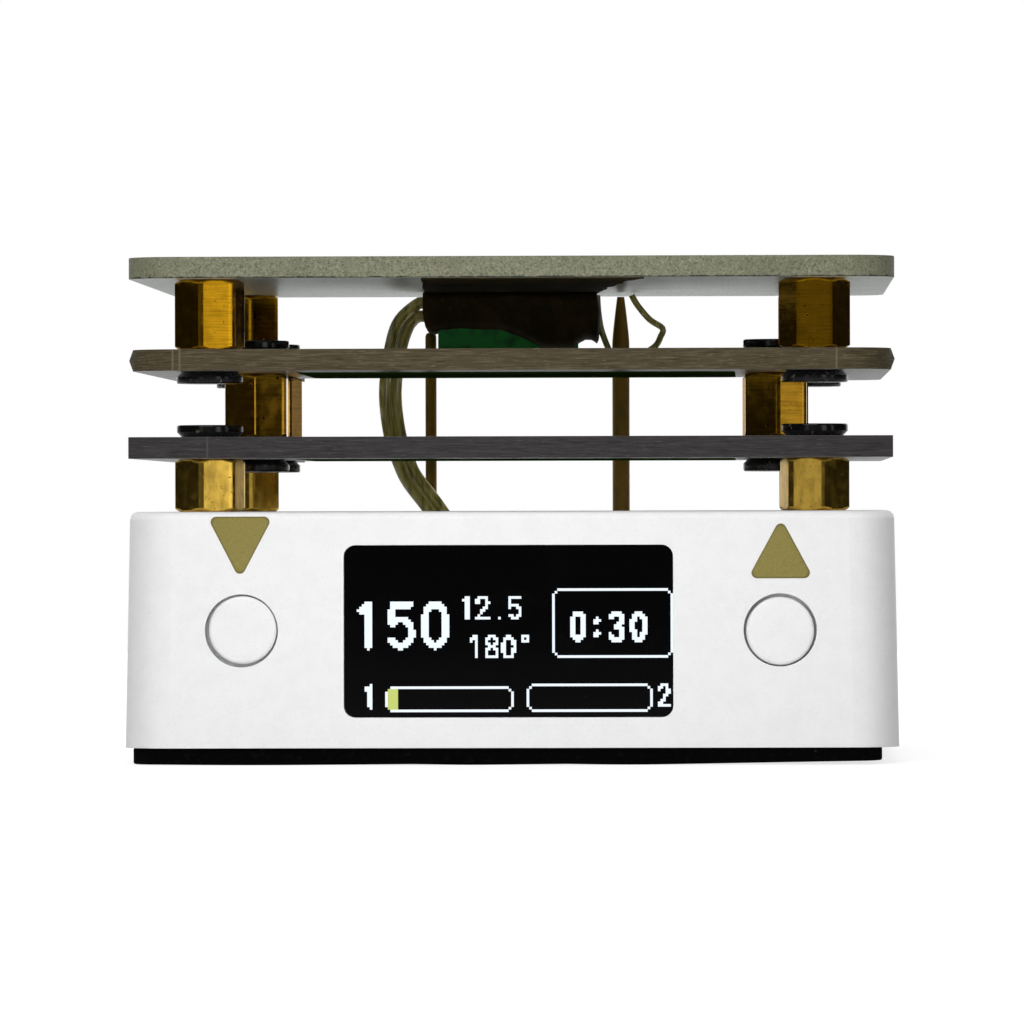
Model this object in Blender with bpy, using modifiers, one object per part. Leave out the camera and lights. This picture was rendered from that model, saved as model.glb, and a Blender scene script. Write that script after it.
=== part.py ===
"""A small hot plate that preheats circuit boards.

A white housing with a display and two push buttons stands on a rubber pad.
Three tiers of hexagonal brass standoffs carry two heat shields and, on top,
the aluminium heater plate. X points right, the front faces -Y, Z is up, and
the origin lies under the middle of the pad.
"""

import math

import bmesh
import bpy
from mathutils import Matrix, Vector

MM = 0.001

# Fits
seat_gap = 0.02 * MM
slide_clearance = 0.16 * MM
loose_clearance = 0.30 * MM
thread_clearance = 0.04 * MM

# Plates
heater_side = 50.0 * MM
heater_thickness = 1.4 * MM
heater_corner = 3.0 * MM
middle_inset = 0.225 * MM
middle_thickness = 1.4 * MM
middle_corner = 3.3 * MM
middle_score = 0.25 * MM
lower_inset = 0.15 * MM
lower_thickness = 1.41 * MM
notch_post_gap = 3.8 * MM
notch_front_y = 9.0 * MM
notch_corner = 1.5 * MM

# Housing, as wide at its top as the heater plate less an inset on each side
case_inset = 0.05 * MM
case_draft = 0.3 * MM
case_height = 15.38 * MM
case_wall = 1.6 * MM
case_corner = 3.0 * MM
case_top_fillet = 0.5 * MM
boss_diameter = 5.6 * MM
boss_floor = 0.4 * MM
boss_button_gap = 0.78 * MM

# Foot pad
pad_side_inset = 0.85 * MM
pad_end_inset = 0.95 * MM
pad_shift = -0.28 * MM
pad_thickness = 1.1 * MM
pad_corner = 2.5 * MM

# Bottom cover
cover_thickness = 1.38 * MM
post_diameter = 4.0 * MM
post_height = 1.5 * MM
peg_diameter = 1.6 * MM
post_side_inset = 6.5 * MM
post_front_inset = 7.6 * MM
post_rear_inset = 4.4 * MM

# Display
window_button_gap = 6.8 * MM
window_corner = 0.75 * MM
window_x = -0.14 * MM
window_top_margin = 2.2 * MM
window_bottom_margin = 1.98 * MM
lens_recess = 0.3 * MM
lens_clearance = 0.04 * MM
lens_flange = 0.35 * MM
lens_flange_thickness = 0.6 * MM
panel_side_margin = 2.65 * MM
panel_end_margin = 0.3 * MM
panel_thickness = 1.45 * MM
panel_ledge = 1.6 * MM

# Circuit boards
board_thickness = 1.0 * MM
front_board_side_gap = 0.85 * MM
front_board_top_gap = 0.48 * MM
main_board_side_gap = 1.85 * MM
main_board_front_gap = 0.64 * MM
main_board_rear_gap = 0.95 * MM
board_corner = 1.0 * MM
header_width = 10.2 * MM
header_depth = 2.5 * MM
header_height = 2.5 * MM

# Push buttons
button_side_inset = 7.45 * MM
button_rise = 0.05 * MM
button_hole = 4.74 * MM
button_recess = 0.05 * MM
button_fillet = 0.2 * MM
button_flange_width = 0.5 * MM
button_flange_thickness = 0.5 * MM
button_travel = 0.3 * MM
plunger_diameter = 2.0 * MM
plunger_reach = 0.35 * MM
switch_side = 4.5 * MM
switch_thickness = 1.2 * MM

# Power socket
socket_width = 8.94 * MM
socket_height = 3.26 * MM
socket_depth = 7.3 * MM
socket_wall = 0.3 * MM
socket_recess = 0.5 * MM
tongue_width = 6.7 * MM
tongue_thickness = 0.7 * MM
tongue_length = 4.5 * MM

# Standoffs
lower_tier = 3.42 * MM
middle_tier = 4.27 * MM
upper_tier = 4.56 * MM
hex_flats = 4.1 * MM
thread_diameter = 2.5 * MM
standoff_chamfer = 0.22 * MM
outer_post_side_inset = 5.2 * MM
outer_post_end_inset = 4.5 * MM
inner_post_x_step = 2.5 * MM
inner_post_y_step = 9.5 * MM
inner_post_pitch = 13.5 * MM

# Screws
head_diameter = 4.36 * MM
head_rim = 0.45 * MM
flush_head_diameter = 4.6 * MM
flush_head_rim = 0.1 * MM
flush_head_clearance = 0.04 * MM
plate_hole = 3.7 * MM
shank_in_standoff = 1.6 * MM
cross_width = 0.5 * MM
cross_tip_width = 0.34 * MM
cross_span = 2.1 * MM
cross_depth = 0.4 * MM

# Heater connection
block_left_x = -6.9 * MM
block_right_x = 4.6 * MM
block_front_y = 10.0 * MM
block_depth = 6.0 * MM
block_height = 2.5 * MM
block_rounding = 0.5 * MM
film_right_x = 8.6 * MM
film_front_inset = 3.0 * MM
film_thickness = 0.25 * MM
terminal_inset = 0.9 * MM
terminal_height = 1.7 * MM
terminal_thickness = 0.8 * MM

# Leads and pins
lead_diameter = 0.83 * MM
lead_y = 12.5 * MM
lead_spread = 0.37 * MM
lead_stagger = 0.30 * MM
lead_a_entry_drop = 0.73 * MM
lead_b_entry_drop = 1.63 * MM
lead_slot_length = 4.2 * MM
lead_slot_width = 2.3 * MM
lead_slot_x = -5.6 * MM
pin_y = 15.0 * MM
pin_left_x = -6.66 * MM
pin_left_diameter = 0.78 * MM
pin_left_top_gap = 0.2 * MM
pin_right_x = 6.59 * MM
pin_right_diameter = 1.2 * MM
pin_tip_diameter = 0.5 * MM
pin_taper = 3.2 * MM
sensor_lead_diameter = 0.44 * MM

# Facets
corner_steps = 7
hole_sides = 16
screw_sides = 12
chamfer_sides = 18
button_sides = 44
wire_resolution = 2
arc_middle = 1 - math.cos(math.pi / 4)

# Heights, from the pad upwards
case_floor_z = pad_thickness + seat_gap
case_top_z = case_floor_z + case_height
lower_standoff_z = case_top_z + seat_gap
lower_plate_z = lower_standoff_z + lower_tier + seat_gap
middle_standoff_z = lower_plate_z + lower_thickness + seat_gap
middle_plate_z = middle_standoff_z + middle_tier + seat_gap
upper_standoff_z = middle_plate_z + middle_thickness + seat_gap
heater_plate_z = upper_standoff_z + upper_tier + seat_gap
heater_top_z = heater_plate_z + heater_thickness
ceiling_z = case_top_z - case_wall
cover_z = case_floor_z
cover_top_z = cover_z + cover_thickness
main_board_z = cover_top_z + post_height + seat_gap
main_board_top_z = main_board_z + board_thickness
window_height = case_height - window_top_margin - window_bottom_margin
window_z = case_floor_z + window_bottom_margin + window_height / 2
panel_height = window_height + 2 * panel_end_margin
button_z = window_z + button_rise
boss_bottom_z = button_z + button_hole / 2 + button_flange_width + boss_button_gap
boss_top_z = case_top_z - case_wall / 2
stud_length = case_top_z - boss_bottom_z - boss_floor - loose_clearance
front_board_height = ceiling_z - front_board_top_gap - cover_top_z - seat_gap


def case_half(z):
    """Half the width of the drafted housing at a height."""
    drop = (case_top_z - z) / case_height
    return heater_side / 2 - case_inset + case_draft * drop


# Widths, from the middle outwards
pad_width = 2 * (case_half(case_floor_z) - pad_side_inset)
pad_depth = 2 * (case_half(case_floor_z) - pad_end_inset)
middle_side = heater_side - 2 * middle_inset
lower_side = heater_side - 2 * lower_inset
outer_post_x = heater_side / 2 - outer_post_side_inset
outer_post_y = heater_side / 2 - outer_post_end_inset
inner_post_x = outer_post_x - inner_post_x_step
inner_post_front_y = inner_post_y_step - outer_post_y
inner_post_rear_y = inner_post_front_y + inner_post_pitch
notch_width = 2 * (outer_post_x - notch_post_gap)
button_x = case_half(case_top_z) - button_side_inset
window_width = 2 * (button_x - window_button_gap)
panel_width = window_width + 2 * panel_side_margin
inner_half = case_half(case_top_z) - case_wall
front_board_width = 2 * (inner_half - front_board_side_gap)
main_board_width = 2 * (inner_half - main_board_side_gap)
post_x = main_board_width / 2 - post_side_inset


# Depths, from the front wall backwards
front_inner_y = -inner_half
lens_front_y = lens_recess - case_half(window_z)
lens_flange_y = front_inner_y + seat_gap
panel_y = lens_flange_y + lens_flange_thickness + seat_gap
front_board_y = panel_y + panel_thickness + seat_gap
front_board_rear_y = front_board_y + board_thickness
cap_front_y = button_recess - case_half(button_z)
cap_flange_y = front_inner_y + seat_gap
cap_rear_y = cap_flange_y + button_flange_thickness
switch_rear_y = front_board_y - seat_gap
switch_front_y = switch_rear_y - switch_thickness
plunger_front_y = cap_rear_y + seat_gap
plunger_rear_y = switch_front_y + plunger_reach
plunger_well_y = plunger_rear_y + button_travel + slide_clearance
main_board_front_y = front_board_rear_y + main_board_front_gap
main_board_rear_y = inner_half - main_board_rear_gap
post_front_y = main_board_front_y + post_front_inset
post_rear_y = main_board_rear_y - post_rear_inset
socket_rear_y = case_half(main_board_top_z) - socket_recess

outer_posts = {
    "front_left": (-outer_post_x, -outer_post_y),
    "front_right": (outer_post_x, -outer_post_y),
    "rear_left": (-outer_post_x, outer_post_y),
    "rear_right": (outer_post_x, outer_post_y),
}
inner_posts = {
    "front_left": (-inner_post_x, inner_post_front_y),
    "front_right": (inner_post_x, inner_post_front_y),
    "rear_left": (-inner_post_x, inner_post_rear_y),
    "rear_right": (inner_post_x, inner_post_rear_y),
}

# How far each hexagon stopped from having a corner in front when it was tightened, in degrees
upper_turns = {"front_left": -15, "front_right": 30, "rear_left": 10, "rear_right": -12}
middle_turns = {"front_left": 0, "front_right": 0, "rear_left": -18, "rear_right": 14}
lower_turns = {"front_left": -15, "front_right": 15, "rear_left": 12, "rear_right": -8}


def clear_scene():
    for obj in list(bpy.data.objects):
        bpy.data.objects.remove(obj, do_unlink=True)


def add_collection(name):
    collection = bpy.data.collections.new(name)
    bpy.context.scene.collection.children.link(collection)
    return collection


clear_scene()
parts = add_collection("pcb_preheater")
cutters = add_collection("cutters")


def add_material(name, colour, roughness, metallic=0.0):
    material = bpy.data.materials.new(name)
    material.use_nodes = True
    shader = material.node_tree.nodes["Principled BSDF"]
    shader.inputs["Base Color"].default_value = (*colour, 1.0)
    shader.inputs["Roughness"].default_value = roughness
    shader.inputs["Metallic"].default_value = metallic
    return material


white_plastic = add_material("white_plastic", (0.86, 0.87, 0.88), 0.45)
cap_plastic = add_material("cap_plastic", (0.9, 0.9, 0.91), 0.35)
black_rubber = add_material("black_rubber", (0.006, 0.006, 0.006), 0.8)
grey_plastic = add_material("grey_plastic", (0.25, 0.25, 0.26), 0.5)
dark_glass = add_material("dark_glass", (0.004, 0.004, 0.005), 0.08)
panel_glass = add_material("panel_glass", (0.01, 0.01, 0.015), 0.1)
green_board = add_material("green_board", (0.01, 0.12, 0.03), 0.4)
black_plastic = add_material("black_plastic", (0.02, 0.02, 0.02), 0.5)
switch_plastic = add_material("switch_plastic", (0.03, 0.03, 0.03), 0.45)
plunger_plastic = add_material("plunger_plastic", (0.6, 0.12, 0.05), 0.5)
socket_steel = add_material("socket_steel", (0.6, 0.6, 0.62), 0.3, 1.0)
brass = add_material("brass", (0.72, 0.46, 0.13), 0.32, 1.0)
blasted_aluminium = add_material("blasted_aluminium", (0.3, 0.29, 0.24), 0.6, 1.0)
brown_laminate = add_material("brown_laminate", (0.07, 0.055, 0.035), 0.6)
grey_laminate = add_material("grey_laminate", (0.045, 0.04, 0.042), 0.6)
black_steel = add_material("black_steel", (0.012, 0.012, 0.013), 0.22, 1.0)
black_sealant = add_material("black_sealant", (0.012, 0.01, 0.008), 0.5)
sleeve_olive = add_material("sleeve_olive", (0.1, 0.09, 0.035), 0.4)


def shade_smooth(obj, sharp_angle):
    """Smooth shading with edges kept sharp above an angle."""
    obj.data.shade_smooth()
    obj.data.set_sharp_from_angle(angle=math.radians(sharp_angle))


def add_part(name, mesh, material, location=(0, 0, 0), rotation=(0, 0, 0), parent=None):
    obj = bpy.data.objects.new(name, mesh)
    parts.objects.link(obj)
    obj.location = location
    obj.rotation_euler = rotation
    obj.parent = parent
    if not mesh.materials:
        mesh.materials.append(material)
    return obj


def add_cutter(name, mesh, location=(0, 0, 0), rotation=(0, 0, 0), group=None):
    obj = bpy.data.objects.new(name, mesh)
    (group or cutters).objects.link(obj)
    obj.location = location
    obj.rotation_euler = rotation
    obj.hide_render = True
    obj.display_type = "WIRE"
    return obj


def cutter_group(name):
    group = bpy.data.collections.new(name)
    cutters.children.link(group)
    return group


def combine(obj, operation, other):
    """Adds a Boolean with a helper object or with a group of them."""
    modifier = obj.modifiers.new(f"{operation.lower()}_{other.name}", "BOOLEAN")
    modifier.operation = operation
    modifier.solver = "EXACT"
    if isinstance(other, bpy.types.Collection):
        modifier.operand_type = "COLLECTION"
        modifier.collection = other
    else:
        modifier.object = other
    return modifier


def baked(obj):
    """The evaluated mesh of an object, welded, with the object removed."""
    bpy.context.view_layer.update()
    graph = bpy.context.evaluated_depsgraph_get()
    mesh = bpy.data.meshes.new_from_object(obj.evaluated_get(graph))
    shape = bmesh.new()
    shape.from_mesh(mesh)
    bmesh.ops.remove_doubles(shape, verts=shape.verts, dist=1e-7)
    shape.to_mesh(mesh)
    shape.free()
    bpy.data.objects.remove(obj, do_unlink=True)
    return mesh


def to_mesh(name, shape):
    mesh = bpy.data.meshes.new(name)
    shape.to_mesh(mesh)
    shape.free()
    return mesh


def box_mesh(name, low, high):
    """A box between two opposite corners."""
    low = Vector(low)
    high = Vector(high)
    shape = bmesh.new()
    bmesh.ops.create_cube(shape, size=1.0)
    bmesh.ops.scale(shape, vec=high - low, verts=shape.verts)
    bmesh.ops.translate(shape, vec=(high + low) / 2, verts=shape.verts)
    return to_mesh(name, shape)


def rod_mesh(name, diameter, low, high, sides=hole_sides, around=False, top=None):
    """An upright rod. around=True fits the polygon outside the circle, as a hole needs."""
    outside = 1 / math.cos(math.pi / sides) if around else 1.0
    shape = bmesh.new()
    bmesh.ops.create_cone(
        shape,
        cap_ends=True,
        segments=sides,
        radius1=diameter / 2 * outside,
        radius2=(diameter if top is None else top) / 2 * outside,
        depth=high - low,
    )
    bmesh.ops.translate(shape, vec=(0, 0, (high + low) / 2), verts=shape.verts)
    return to_mesh(name, shape)


def filleted(corners):
    """Points of an outline through (x, y, radius) corners, each rounded by its radius."""
    points = []
    for i, (x, y, radius) in enumerate(corners):
        here = Vector((x, y))
        if radius == 0:
            points.append(here)
            continue
        before = (Vector(corners[i - 1][:2]) - here).normalized()
        after = (Vector(corners[(i + 1) % len(corners)][:2]) - here).normalized()
        half_angle = before.angle(after) / 2
        centre = here + (before + after).normalized() * radius / math.sin(half_angle)
        reach = radius / math.tan(half_angle)
        first = here + before * reach - centre
        last = here + after * reach - centre
        start = math.atan2(first.y, first.x)
        sweep = math.remainder(math.atan2(last.y, last.x) - start, math.tau)
        for step in range(corner_steps + 1):
            angle = start + sweep * step / corner_steps
            points.append(centre + radius * Vector((math.cos(angle), math.sin(angle))))
    return points


def rounded_rectangle(width, height, radius, centre=(0.0, 0.0)):
    x = width / 2
    y = height / 2
    corners = [(-x, -y, radius), (x, -y, radius), (x, y, radius), (-x, y, radius)]
    return [point + Vector(centre) for point in filleted(corners)]


def circle(diameter, centre, sides=hole_sides):
    """A polygon around a circle, for a hole."""
    radius = diameter / 2 / math.cos(math.pi / sides)
    angles = [math.tau * (i + 0.5) / sides for i in range(sides)]
    return [Vector(centre) + radius * Vector((math.cos(a), math.sin(a))) for a in angles]


def plate_mesh(name, outlines, thickness):
    """A flat plate standing on z=0, with the first outline's area less the others'."""
    curve = bpy.data.curves.new(name, "CURVE")
    curve.dimensions = "2D"
    curve.fill_mode = "BOTH"
    curve.extrude = thickness / 2
    for outline in outlines:
        spline = curve.splines.new("POLY")
        spline.points.add(len(outline) - 1)
        for point, place in zip(spline.points, outline):
            point.co = (place.x, place.y, 0, 1)
        spline.use_cyclic_u = True
    holder = bpy.data.objects.new(name, curve)
    cutters.objects.link(holder)
    mesh = baked(holder)
    mesh.transform(Matrix.Translation((0, 0, thickness / 2)))
    bpy.data.curves.remove(curve)
    return mesh


def turned_mesh(name, profile, sides):
    """A turned solid from (radius, z) points that run from top to bottom."""
    shape = bmesh.new()
    verts = [shape.verts.new((radius, 0, z)) for radius, z in profile]
    for first, second in zip(verts, verts[1:]):
        shape.edges.new((first, second))
    holder = bpy.data.objects.new(name, to_mesh(name, shape))
    cutters.objects.link(holder)
    screw = holder.modifiers.new("turn", "SCREW")
    screw.angle = math.tau
    screw.steps = sides
    screw.render_steps = sides
    screw.use_merge_vertices = True
    screw.merge_threshold = 1e-7
    return baked(holder)


def wire(name, route, diameter, material, close_points=1.3 * MM):
    """A round wire with flat ends along a smooth curve through the route's points."""
    curve = bpy.data.curves.new(name, "CURVE")
    curve.dimensions = "3D"
    curve.bevel_depth = diameter / 2
    curve.bevel_resolution = wire_resolution
    curve.use_fill_caps = True
    points = smooth_route([Vector(place) for place in route], close_points)
    spline = curve.splines.new("POLY")
    spline.points.add(len(points) - 1)
    for point, place in zip(spline.points, points):
        point.co = (*place, 1)
    curve.materials.append(material)
    obj = bpy.data.objects.new(name, curve)
    parts.objects.link(obj)
    return obj


def smooth_route(places, close_points):
    """Points of a Catmull-Rom curve through the places."""
    ends = [2 * places[0] - places[1], *places, 2 * places[-1] - places[-2]]
    points = []
    for before, start, end, after in zip(ends, ends[1:], ends[2:], ends[3:]):
        steps = max(1, round((end - start).length / close_points))
        for step in range(steps):
            t = step / steps
            points.append(
                0.5
                * (
                    2 * start
                    + (end - before) * t
                    + (2 * before - 5 * start + 4 * end - after) * t**2
                    + (3 * start - before - 3 * end + after) * t**3
                )
            )
    points.append(places[-1])
    return points


def upright(mesh):
    """Turns a plate's own x, y, thickness to the world's x, z, y."""
    mesh.transform(Matrix.Rotation(math.pi / 2, 4, "X"))
    return mesh


def make_foot_pad():
    outline = rounded_rectangle(pad_width, pad_depth, pad_corner, (pad_shift, 0))
    add_part("foot_pad", plate_mesh("foot_pad", [outline], pad_thickness), black_rubber)


def case_skin():
    """The housing's outer skin: drafted walls a little too long, round corners and no floor."""
    skirt_z = case_floor_z - case_wall
    shape = bmesh.new()
    bmesh.ops.create_cube(shape, size=2.0)
    for vert in shape.verts:
        level = case_top_z if vert.co.z > 0 else skirt_z
        half = case_half(level)
        vert.co = (vert.co.x * half, vert.co.y * half, level)
    middle = (case_floor_z + case_top_z) / 2
    floor = [f for f in shape.faces if all(v.co.z < middle for v in f.verts)]
    bmesh.ops.delete(shape, geom=floor, context="FACES_ONLY")
    upright_edges = [e for e in shape.edges if len({v.co.z > middle for v in e.verts}) == 2]
    bmesh.ops.bevel(
        shape,
        geom=upright_edges,
        offset=case_corner,
        segments=corner_steps,
        profile=0.5,
        affect="EDGES",
    )
    top_edges = [e for e in shape.edges if all(v.co.z > middle for v in e.verts)]
    bmesh.ops.bevel(
        shape,
        geom=top_edges,
        offset=case_top_fillet,
        segments=3,
        profile=0.5,
        affect="EDGES",
    )
    return to_mesh("case_shell", shape)


def front_hole_mesh(name, diameter, sides):
    """A cutter along Y through the front wall."""
    mesh = rod_mesh(name, diameter, -2 * case_wall, 2 * case_wall, sides, around=True)
    mesh.transform(Matrix.Rotation(math.pi / 2, 4, "X"))
    return mesh


def make_case_shell():
    shell = add_part("case_shell", case_skin(), white_plastic)
    walls = shell.modifiers.new("walls", "SOLIDIFY")
    walls.thickness = case_wall
    walls.offset = -1
    walls.use_even_offset = True
    bosses = cutter_group("case_bosses")
    openings = cutter_group("case_openings")
    boss = rod_mesh("boss", boss_diameter, boss_bottom_z, boss_top_z)
    stud_bottom = case_top_z - stud_length - loose_clearance
    stud_hole = rod_mesh(
        "stud_hole",
        thread_diameter,
        stud_bottom,
        case_top_z + case_wall,
        around=True,
    )
    for corner, (x, y) in outer_posts.items():
        add_cutter(f"boss_{corner}", boss, (x, y, 0), group=bosses)
        add_cutter(f"stud_hole_{corner}", stud_hole, (x, y, 0), group=openings)
    window = rounded_rectangle(window_width, window_height, window_corner)
    add_cutter(
        "window_hole",
        upright(plate_mesh("window_hole", [window], 4 * case_wall)),
        (window_x, front_inner_y + case_wall, window_z),
        group=openings,
    )
    hole = front_hole_mesh("button_hole", button_hole, button_sides)
    for side, name in ((-1, "left"), (1, "right")):
        place = (side * button_x, front_inner_y - case_wall / 2, button_z)
        add_cutter(f"{name}_button_hole", hole, place, group=openings)
    mouth = rounded_rectangle(
        socket_width + 2 * loose_clearance,
        socket_height + 2 * loose_clearance,
        socket_height / 2,
    )
    add_cutter(
        "socket_hole",
        upright(plate_mesh("socket_hole", [mouth], 4 * case_wall)),
        (0, inner_half + 2 * case_wall, main_board_top_z + seat_gap + socket_height / 2),
        group=openings,
    )
    slot = rounded_rectangle(lead_slot_length, lead_slot_width, lead_slot_width / 2 - seat_gap)
    add_cutter(
        "lead_slot",
        plate_mesh("lead_slot", [slot], 3 * case_wall),
        (lead_slot_x, lead_y, ceiling_z - case_wall),
        group=openings,
    )
    for name, x, diameter in (
        ("left_pin_hole", pin_left_x, pin_left_diameter),
        ("right_pin_hole", pin_right_x, pin_right_diameter),
    ):
        hole = rod_mesh(
            name,
            diameter + 2 * loose_clearance,
            ceiling_z - case_wall,
            case_top_z + case_wall,
            around=True,
        )
        add_cutter(name, hole, (x, pin_y, 0), group=openings)
    trim = box_mesh(
        "floor_trim",
        (-heater_side, -heater_side, case_floor_z - 3 * case_wall),
        (heater_side, heater_side, case_floor_z),
    )
    add_cutter("floor_trim", trim, group=openings)
    combine(shell, "UNION", bosses)
    combine(shell, "DIFFERENCE", openings)


def make_bottom_cover():
    side = 2 * (case_half(cover_top_z) - case_wall - slide_clearance)
    outline = rounded_rectangle(side, side, case_corner - case_wall)
    plate = plate_mesh("bottom_cover", [outline], cover_thickness)
    cover = add_part("bottom_cover", plate, grey_plastic, (0, 0, cover_z))
    posts = cutter_group("cover_posts")
    overlap = cover_thickness / 2
    post = rod_mesh("cover_post", post_diameter, overlap, cover_thickness + post_height)
    peg_top = cover_thickness + post_height + 2 * seat_gap + 2 * board_thickness
    peg = rod_mesh("cover_peg", peg_diameter, cover_thickness, peg_top)
    for x in (-post_x, post_x):
        for y in (post_front_y, post_rear_y):
            add_cutter("cover_post", post, (x, y, cover_z), group=posts)
            add_cutter("cover_peg", peg, (x, y, cover_z), group=posts)
    combine(cover, "UNION", posts)


def front_board_outline():
    """The front board stands on the cover; its upper corners are cut away under the front bosses."""
    half = front_board_width / 2
    shoulder_x = outer_post_x - boss_diameter / 2 - loose_clearance
    shoulder = boss_bottom_z - loose_clearance - cover_top_z - seat_gap
    return filleted(
        [
            (-half, 0, board_corner),
            (half, 0, board_corner),
            (half, shoulder, board_corner),
            (shoulder_x, shoulder, 0),
            (shoulder_x, front_board_height, board_corner),
            (-shoulder_x, front_board_height, board_corner),
            (-shoulder_x, shoulder, 0),
            (-half, shoulder, board_corner),
        ]
    )


def make_boards():
    depth = main_board_rear_y - main_board_front_y
    middle_y = (main_board_rear_y + main_board_front_y) / 2
    outline = rounded_rectangle(main_board_width, depth, board_corner, (0, middle_y))
    holes = [
        circle(peg_diameter + 2 * slide_clearance, (x, y))
        for x in (-post_x, post_x)
        for y in (post_front_y, post_rear_y)
    ]
    main = plate_mesh("main_board", [outline, *holes], board_thickness)
    add_part("main_board", main, green_board, (0, 0, main_board_z))
    front = upright(plate_mesh("front_board", [front_board_outline()], board_thickness))
    place = (0, front_board_rear_y, cover_top_z + seat_gap)
    add_part("front_board", front, green_board, place)
    header = box_mesh(
        "board_header",
        (-header_width / 2, front_board_rear_y + seat_gap, main_board_top_z + seat_gap),
        (
            header_width / 2,
            front_board_rear_y + seat_gap + header_depth,
            main_board_top_z + seat_gap + header_height,
        ),
    )
    add_part("board_header", header, black_plastic)


def make_display():
    front = rounded_rectangle(
        window_width - 2 * lens_clearance, window_height - 2 * lens_clearance, window_corner
    )
    flange = rounded_rectangle(
        window_width + 2 * lens_flange, window_height + 2 * lens_flange, window_corner
    )
    front_depth = lens_flange_y + lens_flange_thickness / 2 - lens_front_y
    lens = add_part(
        "display_lens",
        upright(plate_mesh("display_lens", [front], front_depth)),
        dark_glass,
        (window_x, lens_front_y + front_depth, window_z),
    )
    flange_mesh = upright(plate_mesh("lens_flange", [flange], lens_flange_thickness))
    flange_place = (window_x, lens_flange_y + lens_flange_thickness, window_z)
    combine(lens, "UNION", add_cutter("lens_flange", flange_mesh, flange_place))
    low_z = window_z - panel_height / 2
    middle_y = panel_y + panel_thickness / 2
    panel = box_mesh(
        "display_panel",
        (window_x - panel_width / 2, middle_y, low_z),
        (window_x + panel_width / 2, panel_y + panel_thickness, low_z + panel_height),
    )
    glass_half = panel_width / 2 - seat_gap
    cover_glass = box_mesh(
        "panel_cover_glass",
        (window_x - glass_half, panel_y, low_z + panel_ledge),
        (window_x + glass_half, middle_y + panel_thickness / 4, low_z + panel_height),
    )
    panel = add_part("display_panel", panel, panel_glass)
    combine(panel, "UNION", add_cutter("panel_cover_glass", cover_glass))


def make_buttons():
    """The caps and plungers slide along Y with their frame; the switch bodies stay."""
    cap_radius = button_hole / 2 - slide_clearance
    flange_radius = cap_radius + button_flange_width
    cap_length = cap_rear_y - cap_front_y
    rim_z = cap_flange_y - cap_front_y
    cap_profile = [
        (0, cap_length),
        (cap_radius - button_fillet, cap_length),
        (cap_radius - arc_middle * button_fillet, cap_length - arc_middle * button_fillet),
        (cap_radius, cap_length - button_fillet),
        (cap_radius, cap_length - rim_z),
        (flange_radius, cap_length - rim_z),
        (flange_radius, 0),
        (0, 0),
    ]
    cap = turned_mesh("button_cap", cap_profile, button_sides)
    plunger = rod_mesh(
        "switch_plunger", plunger_diameter, 0, plunger_rear_y - plunger_front_y, screw_sides
    )
    half = switch_side / 2
    body = box_mesh("switch_body", (-half, -half, 0), (half, half, switch_thickness))
    well_depth = plunger_well_y - switch_front_y
    well = rod_mesh(
        "plunger_well",
        plunger_diameter + 2 * slide_clearance,
        switch_thickness - well_depth,
        2 * switch_thickness,
        around=True,
    )
    face_front = (math.pi / 2, 0, 0)
    for side, name in ((-1, "left"), (1, "right")):
        x = side * button_x
        slider = bpy.data.objects.new(f"{name}_button_slide", None)
        parts.objects.link(slider)
        slider.location = (x, cap_rear_y, button_z)
        add_part(f"{name}_button_cap", cap, cap_plastic, (0, 0, 0), face_front, slider)
        rear = (0, plunger_rear_y - cap_rear_y, 0)
        add_part(f"{name}_switch_plunger", plunger, plunger_plastic, rear, face_front, slider)
        place = (x, switch_rear_y, button_z)
        switch = add_part(f"{name}_switch_body", body, switch_plastic, place, face_front)
        combine(switch, "DIFFERENCE", add_cutter(f"{name}_plunger_well", well, place, face_front))


def make_usb_socket():
    outline = rounded_rectangle(socket_width, socket_height, socket_height / 2 - seat_gap)
    body = upright(plate_mesh("usb_socket", [outline], socket_depth))
    centre_z = main_board_top_z + seat_gap + socket_height / 2
    socket = add_part("usb_socket", body, socket_steel, (0, socket_rear_y, centre_z))
    hollow_width = socket_width - 2 * socket_wall
    hollow_height = socket_height - 2 * socket_wall
    hollow = rounded_rectangle(hollow_width, hollow_height, hollow_height / 2 - seat_gap)
    hollow_depth = socket_depth - 3 * socket_wall
    cavity = upright(plate_mesh("socket_cavity", [hollow], hollow_depth + socket_recess))
    cavity_place = (0, socket_rear_y + socket_recess, centre_z)
    combine(socket, "DIFFERENCE", add_cutter("socket_cavity", cavity, cavity_place))
    inner_y = socket_rear_y - hollow_depth
    tongue = box_mesh(
        "socket_tongue",
        (-tongue_width / 2, inner_y - socket_wall, centre_z - tongue_thickness / 2),
        (tongue_width / 2, inner_y + tongue_length, centre_z + tongue_thickness / 2),
    )
    combine(socket, "UNION", add_cutter("socket_tongue", tongue))


def shield_outline(side, corner):
    """A shield's outline: a square with a wide notch in its rear edge."""
    half = side / 2
    notch = notch_width / 2
    return filleted(
        [
            (-half, -half, corner),
            (half, -half, corner),
            (half, half, corner),
            (notch, half, 0),
            (notch, notch_front_y, notch_corner),
            (-notch, notch_front_y, notch_corner),
            (-notch, half, 0),
            (-half, half, corner),
        ]
    )


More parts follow.
